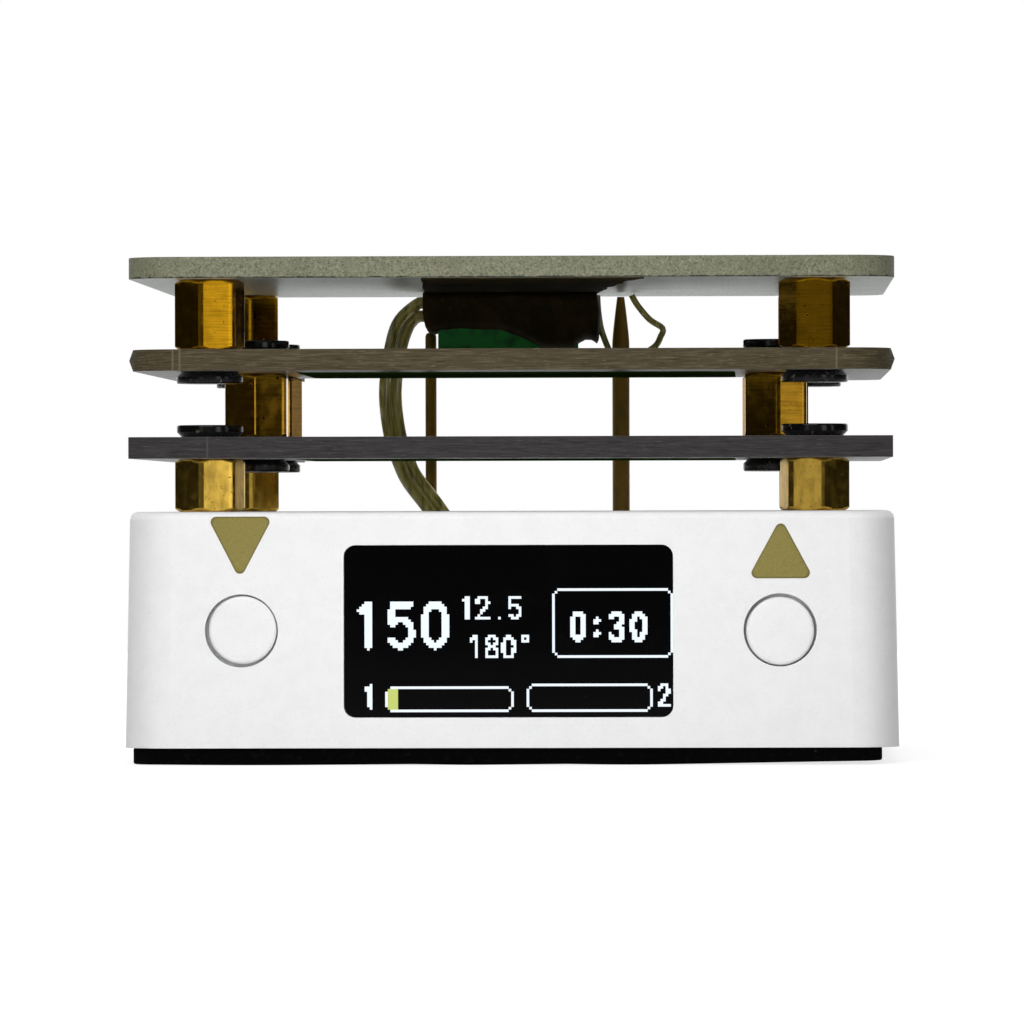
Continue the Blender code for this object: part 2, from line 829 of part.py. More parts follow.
def make_plates():
    inner_holes = [circle(plate_hole, place) for place in inner_posts.values()]
    outer_holes = [circle(plate_hole, place) for place in outer_posts.values()]
    lower_outline = shield_outline(lower_side, 0)
    lower = plate_mesh("lower_plate", [lower_outline, *inner_holes, *outer_holes], lower_thickness)
    add_part("lower_plate", lower, grey_laminate, (0, 0, lower_plate_z))
    middle_outline = shield_outline(middle_side, middle_corner)
    middle = plate_mesh(
        "middle_plate", [middle_outline, *inner_holes, *outer_holes], middle_thickness
    )
    score_sides(middle)
    add_part("middle_plate", middle, brown_laminate, (0, 0, middle_plate_z))
    heater_outline = rounded_rectangle(heater_side, heater_side, heater_corner)
    heater = plate_mesh("heater_plate", [heater_outline], heater_thickness)
    plate = add_part("heater_plate", heater, blasted_aluminium, (0, 0, heater_plate_z))
    sinks = cutter_group("heater_screw_holes")
    sink_top = heater_thickness + seat_gap
    head_cut = flush_head_diameter + 2 * flush_head_clearance
    rim_bottom = heater_thickness - flush_head_rim - 2 * seat_gap
    shank_cut = thread_diameter + 2 * thread_clearance
    profile = [
        (0, sink_top),
        (head_cut / 2, sink_top),
        (head_cut / 2, rim_bottom),
        (shank_cut / 2, rim_bottom - (head_cut - shank_cut) / 2),
        (shank_cut / 2, -heater_thickness),
        (0, -heater_thickness),
    ]
    sink = turned_mesh("screw_sink", profile, hole_sides)
    for corner, (x, y) in outer_posts.items():
        add_cutter(f"screw_sink_{corner}", sink, (x, y, heater_plate_z), group=sinks)
    combine(plate, "DIFFERENCE", sinks)


def score_sides(mesh):
    """Pulls the left and right edges out at mid-thickness, as snapping a scored panel leaves them."""
    shape = bmesh.new()
    shape.from_mesh(mesh)
    middle = middle_thickness / 2
    bmesh.ops.bisect_plane(
        shape,
        geom=shape.verts[:] + shape.edges[:] + shape.faces[:],
        dist=1e-7,
        plane_co=(0, 0, middle),
        plane_no=(0, 0, 1),
    )
    for vert in shape.verts:
        outer = abs(vert.co.x) > middle_side / 2 - seat_gap
        if outer and abs(vert.co.z - middle) < seat_gap:
            vert.co.x += math.copysign(middle_score, vert.co.x)
    shape.to_mesh(mesh)
    shape.free()


def standoff_mesh(name, length, stud):
    """A hexagonal spacer with chamfered ends: bored right through, or with a stud below."""
    across_corners = hex_flats / math.cos(math.pi / 6)
    rim = across_corners / 2
    face = rim - standoff_chamfer / math.tan(math.radians(30))
    body = rod_mesh(name, across_corners, 0, length, sides=6)
    holder = bpy.data.objects.new(name, body)
    cutters.objects.link(holder)
    ends = turned_mesh(
        f"{name}_ends",
        [
            (0, length),
            (face, length),
            (rim + seat_gap, length - standoff_chamfer),
            (rim + seat_gap, standoff_chamfer),
            (face, 0),
            (0, 0),
        ],
        chamfer_sides,
    )
    helpers = [add_cutter(f"{name}_ends", ends)]
    combine(holder, "INTERSECT", helpers[0])
    bore_diameter = thread_diameter + 2 * thread_clearance
    bore_bottom = length - shank_in_standoff - loose_clearance if stud else -length
    bore = rod_mesh(
        f"{name}_bore", bore_diameter, bore_bottom, 2 * length, screw_sides, around=True
    )
    helpers.append(add_cutter(f"{name}_bore", bore))
    combine(holder, "DIFFERENCE", helpers[1])
    if stud:
        stud_diameter = thread_diameter - 2 * thread_clearance
        rod = rod_mesh(
            f"{name}_stud", stud_diameter, -stud_length, standoff_chamfer, screw_sides
        )
        helpers.append(add_cutter(f"{name}_stud", rod))
        combine(holder, "UNION", helpers[2])
    mesh = baked(holder)
    for helper in helpers:
        bpy.data.objects.remove(helper, do_unlink=True)
    return mesh


def make_standoffs():
    tiers = (
        ("lower", lower_standoff_z, lower_tier, outer_posts, lower_turns, True),
        ("middle", middle_standoff_z, middle_tier, inner_posts, middle_turns, False),
        ("upper", upper_standoff_z, upper_tier, outer_posts, upper_turns, False),
    )
    for tier, z, length, posts, turns, stud in tiers:
        mesh = standoff_mesh(f"{tier}_standoff", length, stud)
        for corner, (x, y) in posts.items():
            turn = (0, 0, math.radians(turns[corner]))
            add_part(f"{tier}_standoff_{corner}", mesh, brass, (x, y, z), turn)


def screw_mesh(name, diameter, rim, plate_thickness, seat_drop):
    """A countersunk screw whose seat on the plate is z=0; its shank points down."""
    radius = diameter / 2
    shank = thread_diameter / 2 - thread_clearance
    top = rim + seat_drop
    cone_bottom = top - rim - (radius - shank)
    tip = -plate_thickness - shank_in_standoff
    profile = [
        (0, top),
        (radius - arc_middle * rim, top),
        (radius, top - arc_middle * rim),
        (radius, top - rim),
        (shank, cone_bottom),
        (shank, tip),
        (0, tip),
    ]
    holder = bpy.data.objects.new(name, turned_mesh(name, profile, screw_sides))
    cutters.objects.link(holder)
    recess = plate_mesh(f"{name}_recess", [cross_outline()], 2 * cross_depth)
    helper = add_cutter(f"{name}_recess", recess, (0, 0, top - cross_depth))
    combine(holder, "DIFFERENCE", helper)
    mesh = baked(holder)
    bpy.data.objects.remove(helper, do_unlink=True)
    return mesh


def cross_outline():
    """A cross with four arms that narrow outwards, one arm at a time."""
    inner = cross_width / 2
    outer = cross_tip_width / 2
    reach = cross_span / 2
    points = []
    for quarter in range(4):
        turn = Matrix.Rotation(quarter * math.pi / 2, 2)
        points += [turn @ Vector(p) for p in ((reach, -outer), (reach, outer), (inner, inner))]
    return points


def make_screws():
    """One screw in each free end of a standoff. Heads on the shields stand proud of their holes."""
    cone_in_hole = (head_diameter - plate_hole) / 2 + seat_gap
    flush_drop = -flush_head_rim - seat_gap
    heater = screw_mesh(
        "heater_screw", flush_head_diameter, flush_head_rim, heater_thickness, flush_drop
    )
    middle = screw_mesh("middle_screw", head_diameter, head_rim, middle_thickness, cone_in_hole)
    lower = screw_mesh("lower_screw", head_diameter, head_rim, lower_thickness, cone_in_hole)
    upside_down = (math.pi, 0, 0)
    middle_top_z = middle_plate_z + middle_thickness
    lower_top_z = lower_plate_z + lower_thickness
    sets = (
        ("heater_screw", heater, outer_posts, heater_top_z, (0, 0, 0)),
        ("middle_top_screw", middle, inner_posts, middle_top_z, (0, 0, 0)),
        ("middle_bottom_screw", middle, outer_posts, middle_plate_z, upside_down),
        ("lower_top_screw", lower, outer_posts, lower_top_z, (0, 0, 0)),
        ("lower_bottom_screw", lower, inner_posts, lower_plate_z, upside_down),
    )
    for name, mesh, posts, z, rotation in sets:
        for corner, (x, y) in posts.items():
            add_part(f"{name}_{corner}", mesh, black_steel, (x, y, z), rotation)


def make_heater_connection():
    """Black sealant under the heater plate, a block and a thin film in one, over a small board."""
    top = heater_plate_z - seat_gap
    bottom = top - block_height
    rear_y = block_front_y + block_depth
    block = box_mesh(
        "sealant_block", (block_left_x, block_front_y, bottom), (block_right_x, rear_y, top)
    )
    sealant = add_part("sealant_block", block, black_sealant)
    rounding = sealant.modifiers.new("rounding", "BEVEL")
    rounding.width = block_rounding
    rounding.segments = 2
    film = box_mesh(
        "sealant_film",
        (block_left_x, film_front_inset - heater_side / 2, top - film_thickness),
        (film_right_x, rear_y, top),
    )
    combine(sealant, "UNION", add_cutter("sealant_film", film))
    board_y = block_front_y + terminal_inset
    board = box_mesh(
        "terminal_board",
        (block_left_x + terminal_inset, board_y, bottom - seat_gap - terminal_height),
        (block_right_x - terminal_inset, board_y + terminal_thickness, bottom - seat_gap),
    )
    add_part("terminal_board", board, green_board)


def side_by_side(route, side):
    """A lead's route beside the pair's middle route, set off along its normal and in Y."""
    places = [Vector((x * MM, lead_y, z * MM)) for x, z in route]
    beside = []
    for i, place in enumerate(places):
        along = places[min(i + 1, len(places) - 1)] - places[max(i - 1, 0)]
        normal = Vector((along.z, 0, -along.x)).normalized()
        if normal.x < 0:
            normal.negate()
        beside.append(place + side * (normal * lead_spread + Vector((0, lead_stagger, 0))))
    return beside


def make_leads():
    """Two sleeved heater leads that bow out to the left between the main board and the sealant."""
    foot = (main_board_top_z + seat_gap) / MM
    roof = case_top_z / MM
    route = [
        (-4.70, foot),
        (-4.70, foot + 3.46),
        (-4.75, roof - 4.50),
        (-5.10, roof - 1.90),
        (-6.30, roof + 0.10),
        (-7.83, roof + 2.13),
        (-8.42, roof + 3.32),
        (-9.08, roof + 5.33),
        (-9.39, roof + 8.26),
        (-9.01, roof + 11.32),
        (-8.38, roof + 13.13),
    ]
    pair = (("power_lead_a", -1, lead_a_entry_drop), ("power_lead_b", 1, lead_b_entry_drop))
    for name, side, drop in pair:
        places = [*side_by_side(route, side), *sealant_entry(side, heater_plate_z - drop)]
        wire(name, places, lead_diameter, sleeve_olive)


def sealant_entry(side, z):
    """The last two places of a lead, level, so that its flat end meets the sealant's left face."""
    x = block_left_x - 2 * seat_gap
    y = lead_y + side * lead_stagger
    return [Vector((x - lead_diameter / 2, y, z)), Vector((x, y, z))]


def make_pins():
    """Two upright pins from the main board: one beside the terminal board, a probe to the plate."""
    foot = main_board_top_z + seat_gap
    left_top = heater_plate_z - seat_gap - block_height - pin_left_top_gap
    left = rod_mesh("sensor_pin", pin_left_diameter, foot, left_top, screw_sides)
    add_part("sensor_pin", left, brass, (pin_left_x, pin_y, 0))
    right_top = heater_plate_z - seat_gap - film_thickness - seat_gap
    profile = [
        (0, right_top),
        (pin_tip_diameter / 2, right_top),
        (pin_right_diameter / 2, right_top - pin_taper),
        (pin_right_diameter / 2, foot),
        (0, foot),
    ]
    right = turned_mesh("probe_pin", profile, screw_sides)
    add_part("probe_pin", right, brass, (pin_right_x, pin_y, 0))
    film_bottom = (heater_plate_z - 2 * seat_gap - film_thickness) / MM
    plate = heater_plate_z / MM
    pin_side = (pin_right_x + pin_right_diameter / 2 + 2 * seat_gap) / MM
    pin_other_side = (pin_right_x - pin_right_diameter / 2 - 2 * seat_gap) / MM
    y = pin_y / MM
    kinked = [
        (7.35, y, film_bottom),
        (7.76, y, plate - 0.87),
        (8.60, y, plate - 1.86),
        (9.50, y, plate - 2.48),
        (9.37, y, plate - 3.04),
        (8.88, y, plate - 3.81),
        (pin_side, y, plate - 4.68),
    ]
    straight = [
        (4.95, y, film_bottom),
        (5.05, y, plate - 1.48),
        (5.30, y, plate - 2.78),
        (pin_other_side, y, plate - 4.68),
    ]
    for name, route in (("sensor_lead_right", kinked), ("sensor_lead_left", straight)):
        places = [Vector(place) * MM for place in route]
        wire(name, places, sensor_lead_diameter, sleeve_olive)


make_foot_pad()
make_case_shell()
make_bottom_cover()
make_boards()
make_display()
make_buttons()
make_usb_socket()
make_plates()
make_standoffs()
make_screws()
make_heater_connection()
make_leads()
make_pins()
for part in parts.objects:
    if part.type == "MESH":
        shade_smooth(part, 40)
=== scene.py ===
"""Looks for a small hot plate that preheats circuit boards.

A white housing with a display and two push buttons stands on a rubber pad and
carries two heat shields and a heater plate on hexagonal brass standoffs. The
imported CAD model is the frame: every piece here sits where its node is. Lengths
are in metres, +X to the right of the front, -Y out of the front, +Z up.
"""

import math

import bmesh
import bpy
import numpy as np
from mathutils import Matrix, Vector


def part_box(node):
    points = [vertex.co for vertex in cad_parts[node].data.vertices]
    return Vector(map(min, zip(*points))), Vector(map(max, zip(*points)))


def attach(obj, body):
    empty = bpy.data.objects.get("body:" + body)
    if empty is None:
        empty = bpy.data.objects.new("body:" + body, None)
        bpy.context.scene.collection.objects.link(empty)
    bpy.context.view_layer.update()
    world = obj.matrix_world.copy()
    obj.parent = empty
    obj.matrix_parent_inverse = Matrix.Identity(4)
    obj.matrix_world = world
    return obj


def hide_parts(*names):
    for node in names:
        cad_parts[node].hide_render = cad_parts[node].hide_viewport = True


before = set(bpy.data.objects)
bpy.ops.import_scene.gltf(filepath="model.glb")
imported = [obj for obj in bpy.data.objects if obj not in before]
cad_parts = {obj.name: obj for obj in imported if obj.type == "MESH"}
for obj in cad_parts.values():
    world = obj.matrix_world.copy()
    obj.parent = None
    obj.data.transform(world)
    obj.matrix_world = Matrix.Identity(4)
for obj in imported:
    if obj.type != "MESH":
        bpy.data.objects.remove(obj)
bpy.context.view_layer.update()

MM = 0.001

# Camera, in front of the housing and a little to its right; angles in degrees, lens in millimetres
camera_place = (15.5 * MM, -565.0 * MM, 16.7 * MM)
camera_yaw = 1.6322
camera_dip = 0.0276
camera_roll = -0.14
camera_lens = 292.5

# Bands of light that metal shows: angle from the front, half width and strength; angles in degrees
bands = ((-27, 6, 0.40), (33, 7, 1.0), (64, 4.0, 0.66))
band_edge = 1

# Display: size of the field of dots, how far its top is above the lens's middle, and how far its
# dots stand in front of the lens
dot_columns = 128
dot_rows = 64
dots_width = 21.4 * MM
dots_top = 5.28 * MM
dot_proud = 0.006 * MM

# Housing: half its side at the top of its drafted walls
case_half_top = 24.95 * MM

# Heater plate: its lower face, and how high the painted shadow of the burrs at its lower edge reaches
heater_bottom = 31.68 * MM
burr_shadow_depth = 0.08 * MM

# Hexagonal standoffs; corners are the corners of every tier
corners = ("front_left", "front_right", "rear_left", "rear_right")
standoff_flats = 4.1 * MM
standoff_chamfer = 0.22 * MM

# Screws: (radius, rim) of a raised head and of a head sunk flush, then what both share. The rear
# ones under the middle shield sit deeper.
raised_head = (2.18 * MM, 0.45 * MM)
flush_head = (2.3 * MM, 0.1 * MM)
shank_radius = 1.21 * MM
recess_depth = 0.5 * MM
dish_depth = 0.10 * MM
rear_sunk = 0.3 * MM

# Button caps: thickness of the flange behind the wall and how far it stands out, the rounding of the
# face, and how far each cap sits from the middle of its hole, to the right and up
flange_step = 0.5 * MM
cap_fillet = 0.22 * MM
cap_play = {"left": (0.075 * MM, 0.06 * MM), "right": (0.0, -0.06 * MM)}

# Heater leads: radius, half the distance between them along their normal and in Y, the pair's Y,
# and where they end in the sealant
lead_radius = 0.415 * MM
lead_apart = 0.37 * MM
lead_aside = 0.30 * MM
lead_y = 12.5 * MM
lead_end_x = -6.94 * MM

# Sensor leads
wire_radius = 0.22 * MM
wire_y = 15.0 * MM

# Slots of the films on the shields
shield_slots = {"middle_plate": "brown_laminate", "lower_plate": "grey_laminate"}


def linked(obj):
    """Puts a new object into the scene."""
    bpy.context.scene.collection.objects.link(obj)
    return obj


def make_camera():
    """It looks along +Y, turned left by the yaw, down by the dip and round its own axis by the roll."""
    camera = linked(bpy.data.objects.new("camera", bpy.data.cameras.new("camera")))
    turn = (
        Matrix.Rotation(math.radians(camera_yaw), 4, "Z")
        @ Matrix.Rotation(math.radians(90 - camera_dip), 4, "X")
        @ Matrix.Rotation(math.radians(camera_roll), 4, "Z")
    )
    camera.matrix_world = Matrix.Translation(camera_place) @ turn
    camera.data.lens = camera_lens
    camera.data.clip_start = 0.05
    camera.data.clip_end = 20.0
    bpy.context.scene.camera = camera


make_camera()
bpy.context.scene.view_settings.view_transform = "Standard"


def screen(red, green, blue):
    """The linear colour of a 0 to 255 screen colour."""
    values = np.array((red, green, blue)) / 255
    return tuple(np.where(values <= 0.04045, values / 12.92, ((values + 0.055) / 1.055) ** 2.4))


def add_node(tree, kind, inputs=None, **settings):
    """A shader node with its settings; an input takes a value or another node's socket."""
    node = tree.nodes.new("ShaderNode" + kind)
    for key, value in settings.items():
        setattr(node, key, value)
    for key, value in (inputs or {}).items():
        if isinstance(value, bpy.types.NodeSocket):
            tree.links.new(value, node.inputs[key])
        else:
            node.inputs[key].default_value = value
    return node


def maths(tree, operation, *values):
    """The outcome of a calculation with these values, each a number or a node's socket."""
    return add_node(tree, "Math", dict(enumerate(values)), operation=operation).outputs[0]


class Finish:
    """A material whose patterns lie in object space, built up one layer at a time."""

    def __init__(self, name, colour, roughness, metallic=0.0, sockets=None):
        self.material = bpy.data.materials.new(name)
        self.material.use_nodes = True
        self.tree = self.material.node_tree
        self.shader = self.tree.nodes["Principled BSDF"]
        self.shader.inputs["Base Color"].default_value = (*colour, 1.0)
        self.shader.inputs["Roughness"].default_value = roughness
        self.shader.inputs["Metallic"].default_value = metallic
        for key, value in (sockets or {}).items():
            self.shader.inputs[key].default_value = value
        self.colour = (*colour, 1.0)
        self.roughness = roughness
        self.place = self.add("TexCoord").outputs["Object"]
        self.relief = None

    def add(self, kind, inputs=None, **settings):
        """A node of this material."""
        return add_node(self.tree, kind, inputs, **settings)

    def noise(self, scale, detail=2.0, stretch=(1, 1, 1)):
        """Noise with about this many grains in a metre, more along an axis with a larger stretch."""
        scales = [scale * share for share in stretch]
        place = self.add("Mapping", {"Vector": self.place, "Scale": scales}).outputs[0]
        grain = self.add("TexNoise", {"Vector": place, "Scale": 1.0, "Detail": detail})
        return grain.outputs[0]

    def dots(self, scale, size):
        """1 inside small round dots, about one in each cell of 1/scale metres, else 0."""
        cells = self.add("TexVoronoi", {"Vector": self.place, "Scale": scale})
        return self.between(cells.outputs["Distance"], size, 0.6 * size)

    def between(self, value, low, high, start=0.0, end=1.0):
        """Start below low, end above high, and a smooth step from one to the other."""
        inputs = {"Value": value, "From Min": low, "From Max": high, "To Min": start, "To Max": end}
        return self.add("MapRange", inputs, interpolation_type="SMOOTHSTEP").outputs[0]

    def part(self, axis):
        """One coordinate of the place on the object."""
        return self.add("SeparateXYZ", {0: self.place}).outputs["XYZ".index(axis)]

    def sum(self, first, second, operation="ADD"):
        """The sum of two values, or their difference with SUBTRACT."""
        return maths(self.tree, operation, first, second)

    def stripe(self, axis, middle, half, soft):
        """1 within half of the middle along one axis, 0 beyond that and a soft edge."""
        distance = maths(self.tree, "ABSOLUTE", self.sum(self.part(axis), -middle))
        return self.between(distance, half + soft, half)

    def layer(self, where, colour):
        """Covers the colours so far with another one where the mask is 1."""
        inputs = {0: where, 6: self.colour, 7: (*colour, 1.0)}
        mix = self.add("Mix", inputs, data_type="RGBA")
        self.colour = mix.outputs[2]
        self.tree.links.new(self.colour, self.shader.inputs["Base Color"])
        return self

    def clouds(self, scale, detail, low, high, most, colour, stretch=(1, 1, 1)):
        """Covers with a colour by noise: not at all where it is low, up to the share most where high."""
        noise = self.noise(scale, detail, stretch)
        return self.layer(self.between(noise, low, high, 0.0, most), colour)

    def rough(self, where, roughness):
        """Moves the roughness to another value where the mask is 1."""
        mix = self.add("Mix", {0: where, 2: self.roughness, 3: roughness}, data_type="FLOAT")
        self.roughness = mix.outputs[0]
        self.tree.links.new(self.roughness, self.shader.inputs["Roughness"])
        return self

    def bump(self, height, depth):
        """Relief of this depth in metres, over the relief so far."""
        inputs = {"Height": height, "Distance": depth, "Strength": 1.0}
        if self.relief is not None:
            inputs["Normal"] = self.relief
        self.relief = self.add("Bump", inputs).outputs[0]
        self.tree.links.new(self.relief, self.shader.inputs["Normal"])
        return self


def clouded(name, colour, roughness, clouds, grain, metallic=0.0, sockets=None):
    """A look with clouds of other colours, and a relief given by its noise and its depth in metres."""
    finish = Finish(name, colour, roughness, metallic, sockets)
    for cloud in clouds:
        finish.clouds(*cloud)
    scale, detail, depth = grain
    return finish.bump(finish.noise(scale, detail), depth).material


def white_moulding(name, roughness, grain):
    """White plastic with a fine moulded texture, faint clouds and a few specks of dust."""
    finish = Finish(name, screen(245, 245, 245), roughness)
    finish.clouds(900, 4, 0.35, 0.7, 0.5, screen(239, 239, 239))
    finish.clouds(7000, 2, 0.5, 0.75, 0.35, screen(229, 229, 229))
    finish.layer(finish.dots(160, 0.016), screen(150, 150, 150))
    return finish.bump(finish.noise(5200, 3), grain).material


def black_foam():
    """Dull black rubber with greyer clouds and pale specks."""
    finish = Finish("pad_rubber", screen(7, 7, 7), 0.8, sockets={"Specular IOR Level": 0.08})
    finish.clouds(2500, 3, 0.55, 0.75, 1.0, screen(17, 17, 18))
    finish.layer(finish.dots(420, 0.06), screen(70, 70, 70))
    return finish.bump(finish.noise(3500, 3), 0.03 * MM).material


def brass(name, colour, lines, pits, depth):
    """Machined brass: brushed lines, upright or level by their stretch, tarnish clouds and dark pits."""
    finish = Finish(name, colour, 0.11, 1.0)
    tarnish = tuple(0.6 * part for part in colour)
    drawn = finish.noise(700, 3, lines)
    finish.layer(finish.between(drawn, 0.42, 0.68, 0.0, 0.7), tarnish)
    finish.clouds(900, 4, 0.5, 0.72, 0.4, tuple(0.7 * part for part in tarnish))
    spots = finish.dots(pits, 0.1)
    finish.layer(spots, (0.08, 0.04, 0.008))
    finish.clouds(5200, 2, 0.33, 0.27, 0.9, (0.16, 0.08, 0.014))
    finish.rough(finish.between(finish.noise(1300, 3), 0.4, 0.7), 0.16)
    finish.bump(drawn, depth)
    return finish.bump(finish.sum(1.0, spots, "SUBTRACT"), 0.02 * MM).material


def blasted(name, colour, light, dark):
    """Sand-blasted metal: light and dark grains of about a tenth of a millimetre."""
    finish = Finish(name, colour, 0.55, 0.15)
    grain = finish.noise(8500, 3)
    finish.layer(finish.between(grain, 0.52, 0.68, 0.0, 0.8), light)
    finish.layer(finish.between(grain, 0.46, 0.32, 0.0, 0.85), dark)
    finish.clouds(500, 3, 0.5, 0.75, 0.35, dark)
    return finish.bump(grain, 0.015 * MM)


def burr_shadowed(finish):
    """Adds a dark, uneven line of painted shadow along the heater plate's lower edge, where its burrs shade
    it.
    """
    uneven = finish.between(finish.noise(2600, 3), 0.3, 0.7, 0.0, burr_shadow_depth)
    height = finish.sum(finish.part("Z"), uneven, "SUBTRACT")
    # Painted shadow: a dark band just above the lower face, its height made uneven by noise
    low_down = finish.between(height, heater_bottom + burr_shadow_depth, heater_bottom, 0.0, 0.9)
    return finish.layer(low_down, screen(22, 21, 15))


def laminate_edge(name, colour, light, dark, painted_highlight_lines):
    """The sawn edge of a glass-fibre board: level fibre streaks, short flecks, and a few upright light lines
    at given X that are painted highlights, on the middle shield where its rounded corners begin.
    """
    finish = Finish(name, colour, 0.55, sockets={"Specular IOR Level": 0.15})
    streaks = finish.noise(1, 3, (700, 700, 13000))
    finish.layer(finish.between(streaks, 0.5, 0.7, 0.0, 0.6), light)
    finish.layer(finish.between(streaks, 0.45, 0.3, 0.0, 0.7), dark)
    flecks = tuple(1.7 * part for part in light)
    finish.clouds(1, 2, 0.64, 0.72, 0.55, flecks, (1500, 1500, 16000))
    finish.clouds(6500, 2, 0.6, 0.78, 0.4, light)
    # Painted highlights: thin light upright lines at the given X
    for x in painted_highlight_lines:
        finish.layer(finish.stripe("X", x * MM, 0.03 * MM, 0.05 * MM), light)
    return finish.bump(streaks, 0.02 * MM).material


def striated(name, colour, light, dark):
    """A flat metal face with scratches that run from front to back."""
    finish = Finish(name, colour, 0.30, 0.7)
    scratches = finish.noise(1, 3, (5200, 160, 160))
    finish.layer(finish.between(scratches, 0.52, 0.7, 0.0, 0.7), light)
    finish.layer(finish.between(scratches, 0.46, 0.3, 0.0, 0.6), dark)
    finish.clouds(260, 3, 0.52, 0.75, 0.5, dark)
    return finish.bump(scratches, 0.004 * MM).material


def black_oxide():
    """Glossy black steel of the screws, with pale patches painted on as highlights."""
    finish = Finish("black_oxide", screen(20, 20, 21), 0.2, 0.6, {"Coat Weight": 0.6, "Coat Roughness": 0.1})
    # Painted highlights: pale cream patches where the noise is high
    finish.clouds(2200, 3, 0.66, 0.72, 0.8, screen(150, 138, 108))
    finish.rough(finish.between(finish.noise(1500, 3), 0.4, 0.7), 0.33)
    return finish.bump(finish.noise(3800, 2), 0.008 * MM).material


def bright_steel():
    """Bright metal of the socket, drawn from left to right."""
    finish = Finish("socket_metal", (0.55, 0.55, 0.57), 0.28, 1.0)
    return finish.clouds(1, 3, 0.45, 0.7, 0.6, (0.42, 0.42, 0.44), (300, 5000, 5000)).material


def lens_glass():
    """Black glass with a few specks of dust and faint smears."""
    finish = Finish("lens_glass", screen(2, 2, 3), 0.07, sockets={"Specular IOR Level": 0.15})
    finish.layer(finish.dots(300, 0.02), screen(60, 60, 64))
    return finish.rough(finish.between(finish.noise(300, 3), 0.5, 0.75), 0.15).material


def lit_dots(name, colour, strength):
    """Glowing display dots; the glow is a little uneven from dot to dot."""
    finish = Finish(name, (0.02, 0.02, 0.02), 0.4)
    inputs = {0: finish.noise(5200, 1), 6: (*colour, 1.0), 7: (*[0.9 * part for part in colour], 1.0)}
    glow = finish.add("Mix", inputs, data_type="RGBA")
    finish.tree.links.new(glow.outputs[2], finish.shader.inputs["Emission Color"])
    finish.shader.inputs["Emission Strength"].default_value = strength
    return finish.material


def mark_print():
    """Olive print with a fine grain; its rim is darker, by the piece's own rim attribute."""
    finish = Finish("mark_print", screen(146, 134, 70), 0.45, 0.25)
    grain = finish.noise(9000, 2)
    finish.layer(finish.between(grain, 0.5, 0.75, 0.0, 0.5), screen(168, 156, 92))
    finish.layer(finish.between(grain, 0.45, 0.3, 0.0, 0.5), screen(124, 112, 54))
    rim = finish.add("Attribute", attribute_name="rim").outputs["Fac"]
    finish.layer(finish.between(rim, 0.25, 0.9, 0.0, 0.8), screen(112, 103, 56))
    return finish.bump(grain, 0.006 * MM).material


white_case = white_moulding("case_white", 0.48, 0.006 * MM)
white_cap = white_moulding("cap_white", 0.36, 0.003 * MM)
rubber = black_foam()
brass_tiers = {
    "lower": brass("brass_lower", (0.95, 0.61, 0.10), (3, 3, 1), 2400, 0.0010 * MM),
    "middle": brass("brass_middle", (0.76, 0.40, 0.032), (0.5, 0.5, 16), 800, 0.0012 * MM),
    "upper": brass("brass_upper", (0.72, 0.37, 0.012), (0.5, 0.5, 18), 900, 0.0015 * MM),
}
# Dull bronze, dark in the middle, with a pale bloom along its flanks
pin_bronze = clouded(
    "pin_metal", screen(128, 98, 24), 0.40,
    (
        (700, 3, 0.45, 0.65, 0.8, screen(92, 80, 34), (1, 1, 0.5)),
        (3000, 3, 0.58, 0.75, 0.5, screen(150, 118, 44)),
    ),
    (2500, 2, 0.004 * MM), 0.3,
    {"Sheen Weight": 1.0, "Sheen Roughness": 0.3, "Sheen Tint": (0.72, 0.76, 0.74, 1.0)},
)
heater_grains = blasted("heater_edge", screen(129, 131, 108), screen(160, 159, 134), screen(88, 88, 72))
# The edge carries a painted shadow line along its lower edge, under its burrs
heater_edge = burr_shadowed(heater_grains).material
heater_top = blasted(
    "heater_top", screen(138, 138, 128), screen(160, 160, 150), screen(112, 112, 102)
).material
heater_under = striated(
    "heater_under", screen(230, 238, 231), screen(244, 248, 244), screen(198, 208, 200)
)
# Its light lines at -21.96, -21.50 and 21.2 mm are painted highlights where its rounded corners begin
middle_edge = laminate_edge(
    "middle_edge", screen(76, 68, 50), screen(108, 97, 76), screen(50, 43, 31), (-21.96, -21.50, 21.2)
)
lower_edge = laminate_edge(
    "lower_edge", screen(56, 53, 54), screen(74, 71, 72), screen(40, 37, 38), (-19.7,)
)
# Tinted borders of a shield's flat faces, with fine scratches from front to back
shield_plain = clouded(
    "shield_face", screen(190, 192, 190), 0.3,
    [(1, 3, 0.45, 0.7, 0.4, screen(150, 152, 149), (4200, 200, 200))], (2600, 3, 0.004 * MM), 0.6,
)
# Dark green varnish in the middle of those faces
shield_green = clouded(
    "shield_mask", screen(58, 84, 36), 0.9,
    [(800, 3, 0.45, 0.7, 0.7, screen(42, 66, 25))], (3000, 2, 0.004 * MM),
    sockets={"Specular IOR Level": 0.0},
)
# Dark brown cured sealant with a lumpy surface
sealant_black = clouded(
    "cured_sealant", screen(42, 36, 19), 0.65,
    (
        (500, 4, 0.42, 0.66, 0.9, screen(60, 48, 25)),
        (2500, 2, 0.6, 0.75, 0.5, screen(66, 56, 34)),
    ),
    (900, 4, 0.10 * MM), sockets={"Specular IOR Level": 0.06},
)
# Glossy glass-fibre sleeve: olive, with darker and paler streaks along its upright run
sleeve_olive = clouded(
    "sleeve", screen(164, 153, 70), 0.25,
    (
        (2600, 2, 0.42, 0.66, 0.8, screen(104, 97, 42), (1, 1, 0.12)),
        (1700, 2, 0.54, 0.70, 0.7, screen(206, 196, 116), (1, 1, 0.15)),
    ),
    (3000, 2, 0.01 * MM), sockets={"Coat Weight": 1.0, "Coat Roughness": 0.06, "Coat IOR": 1.9},
)
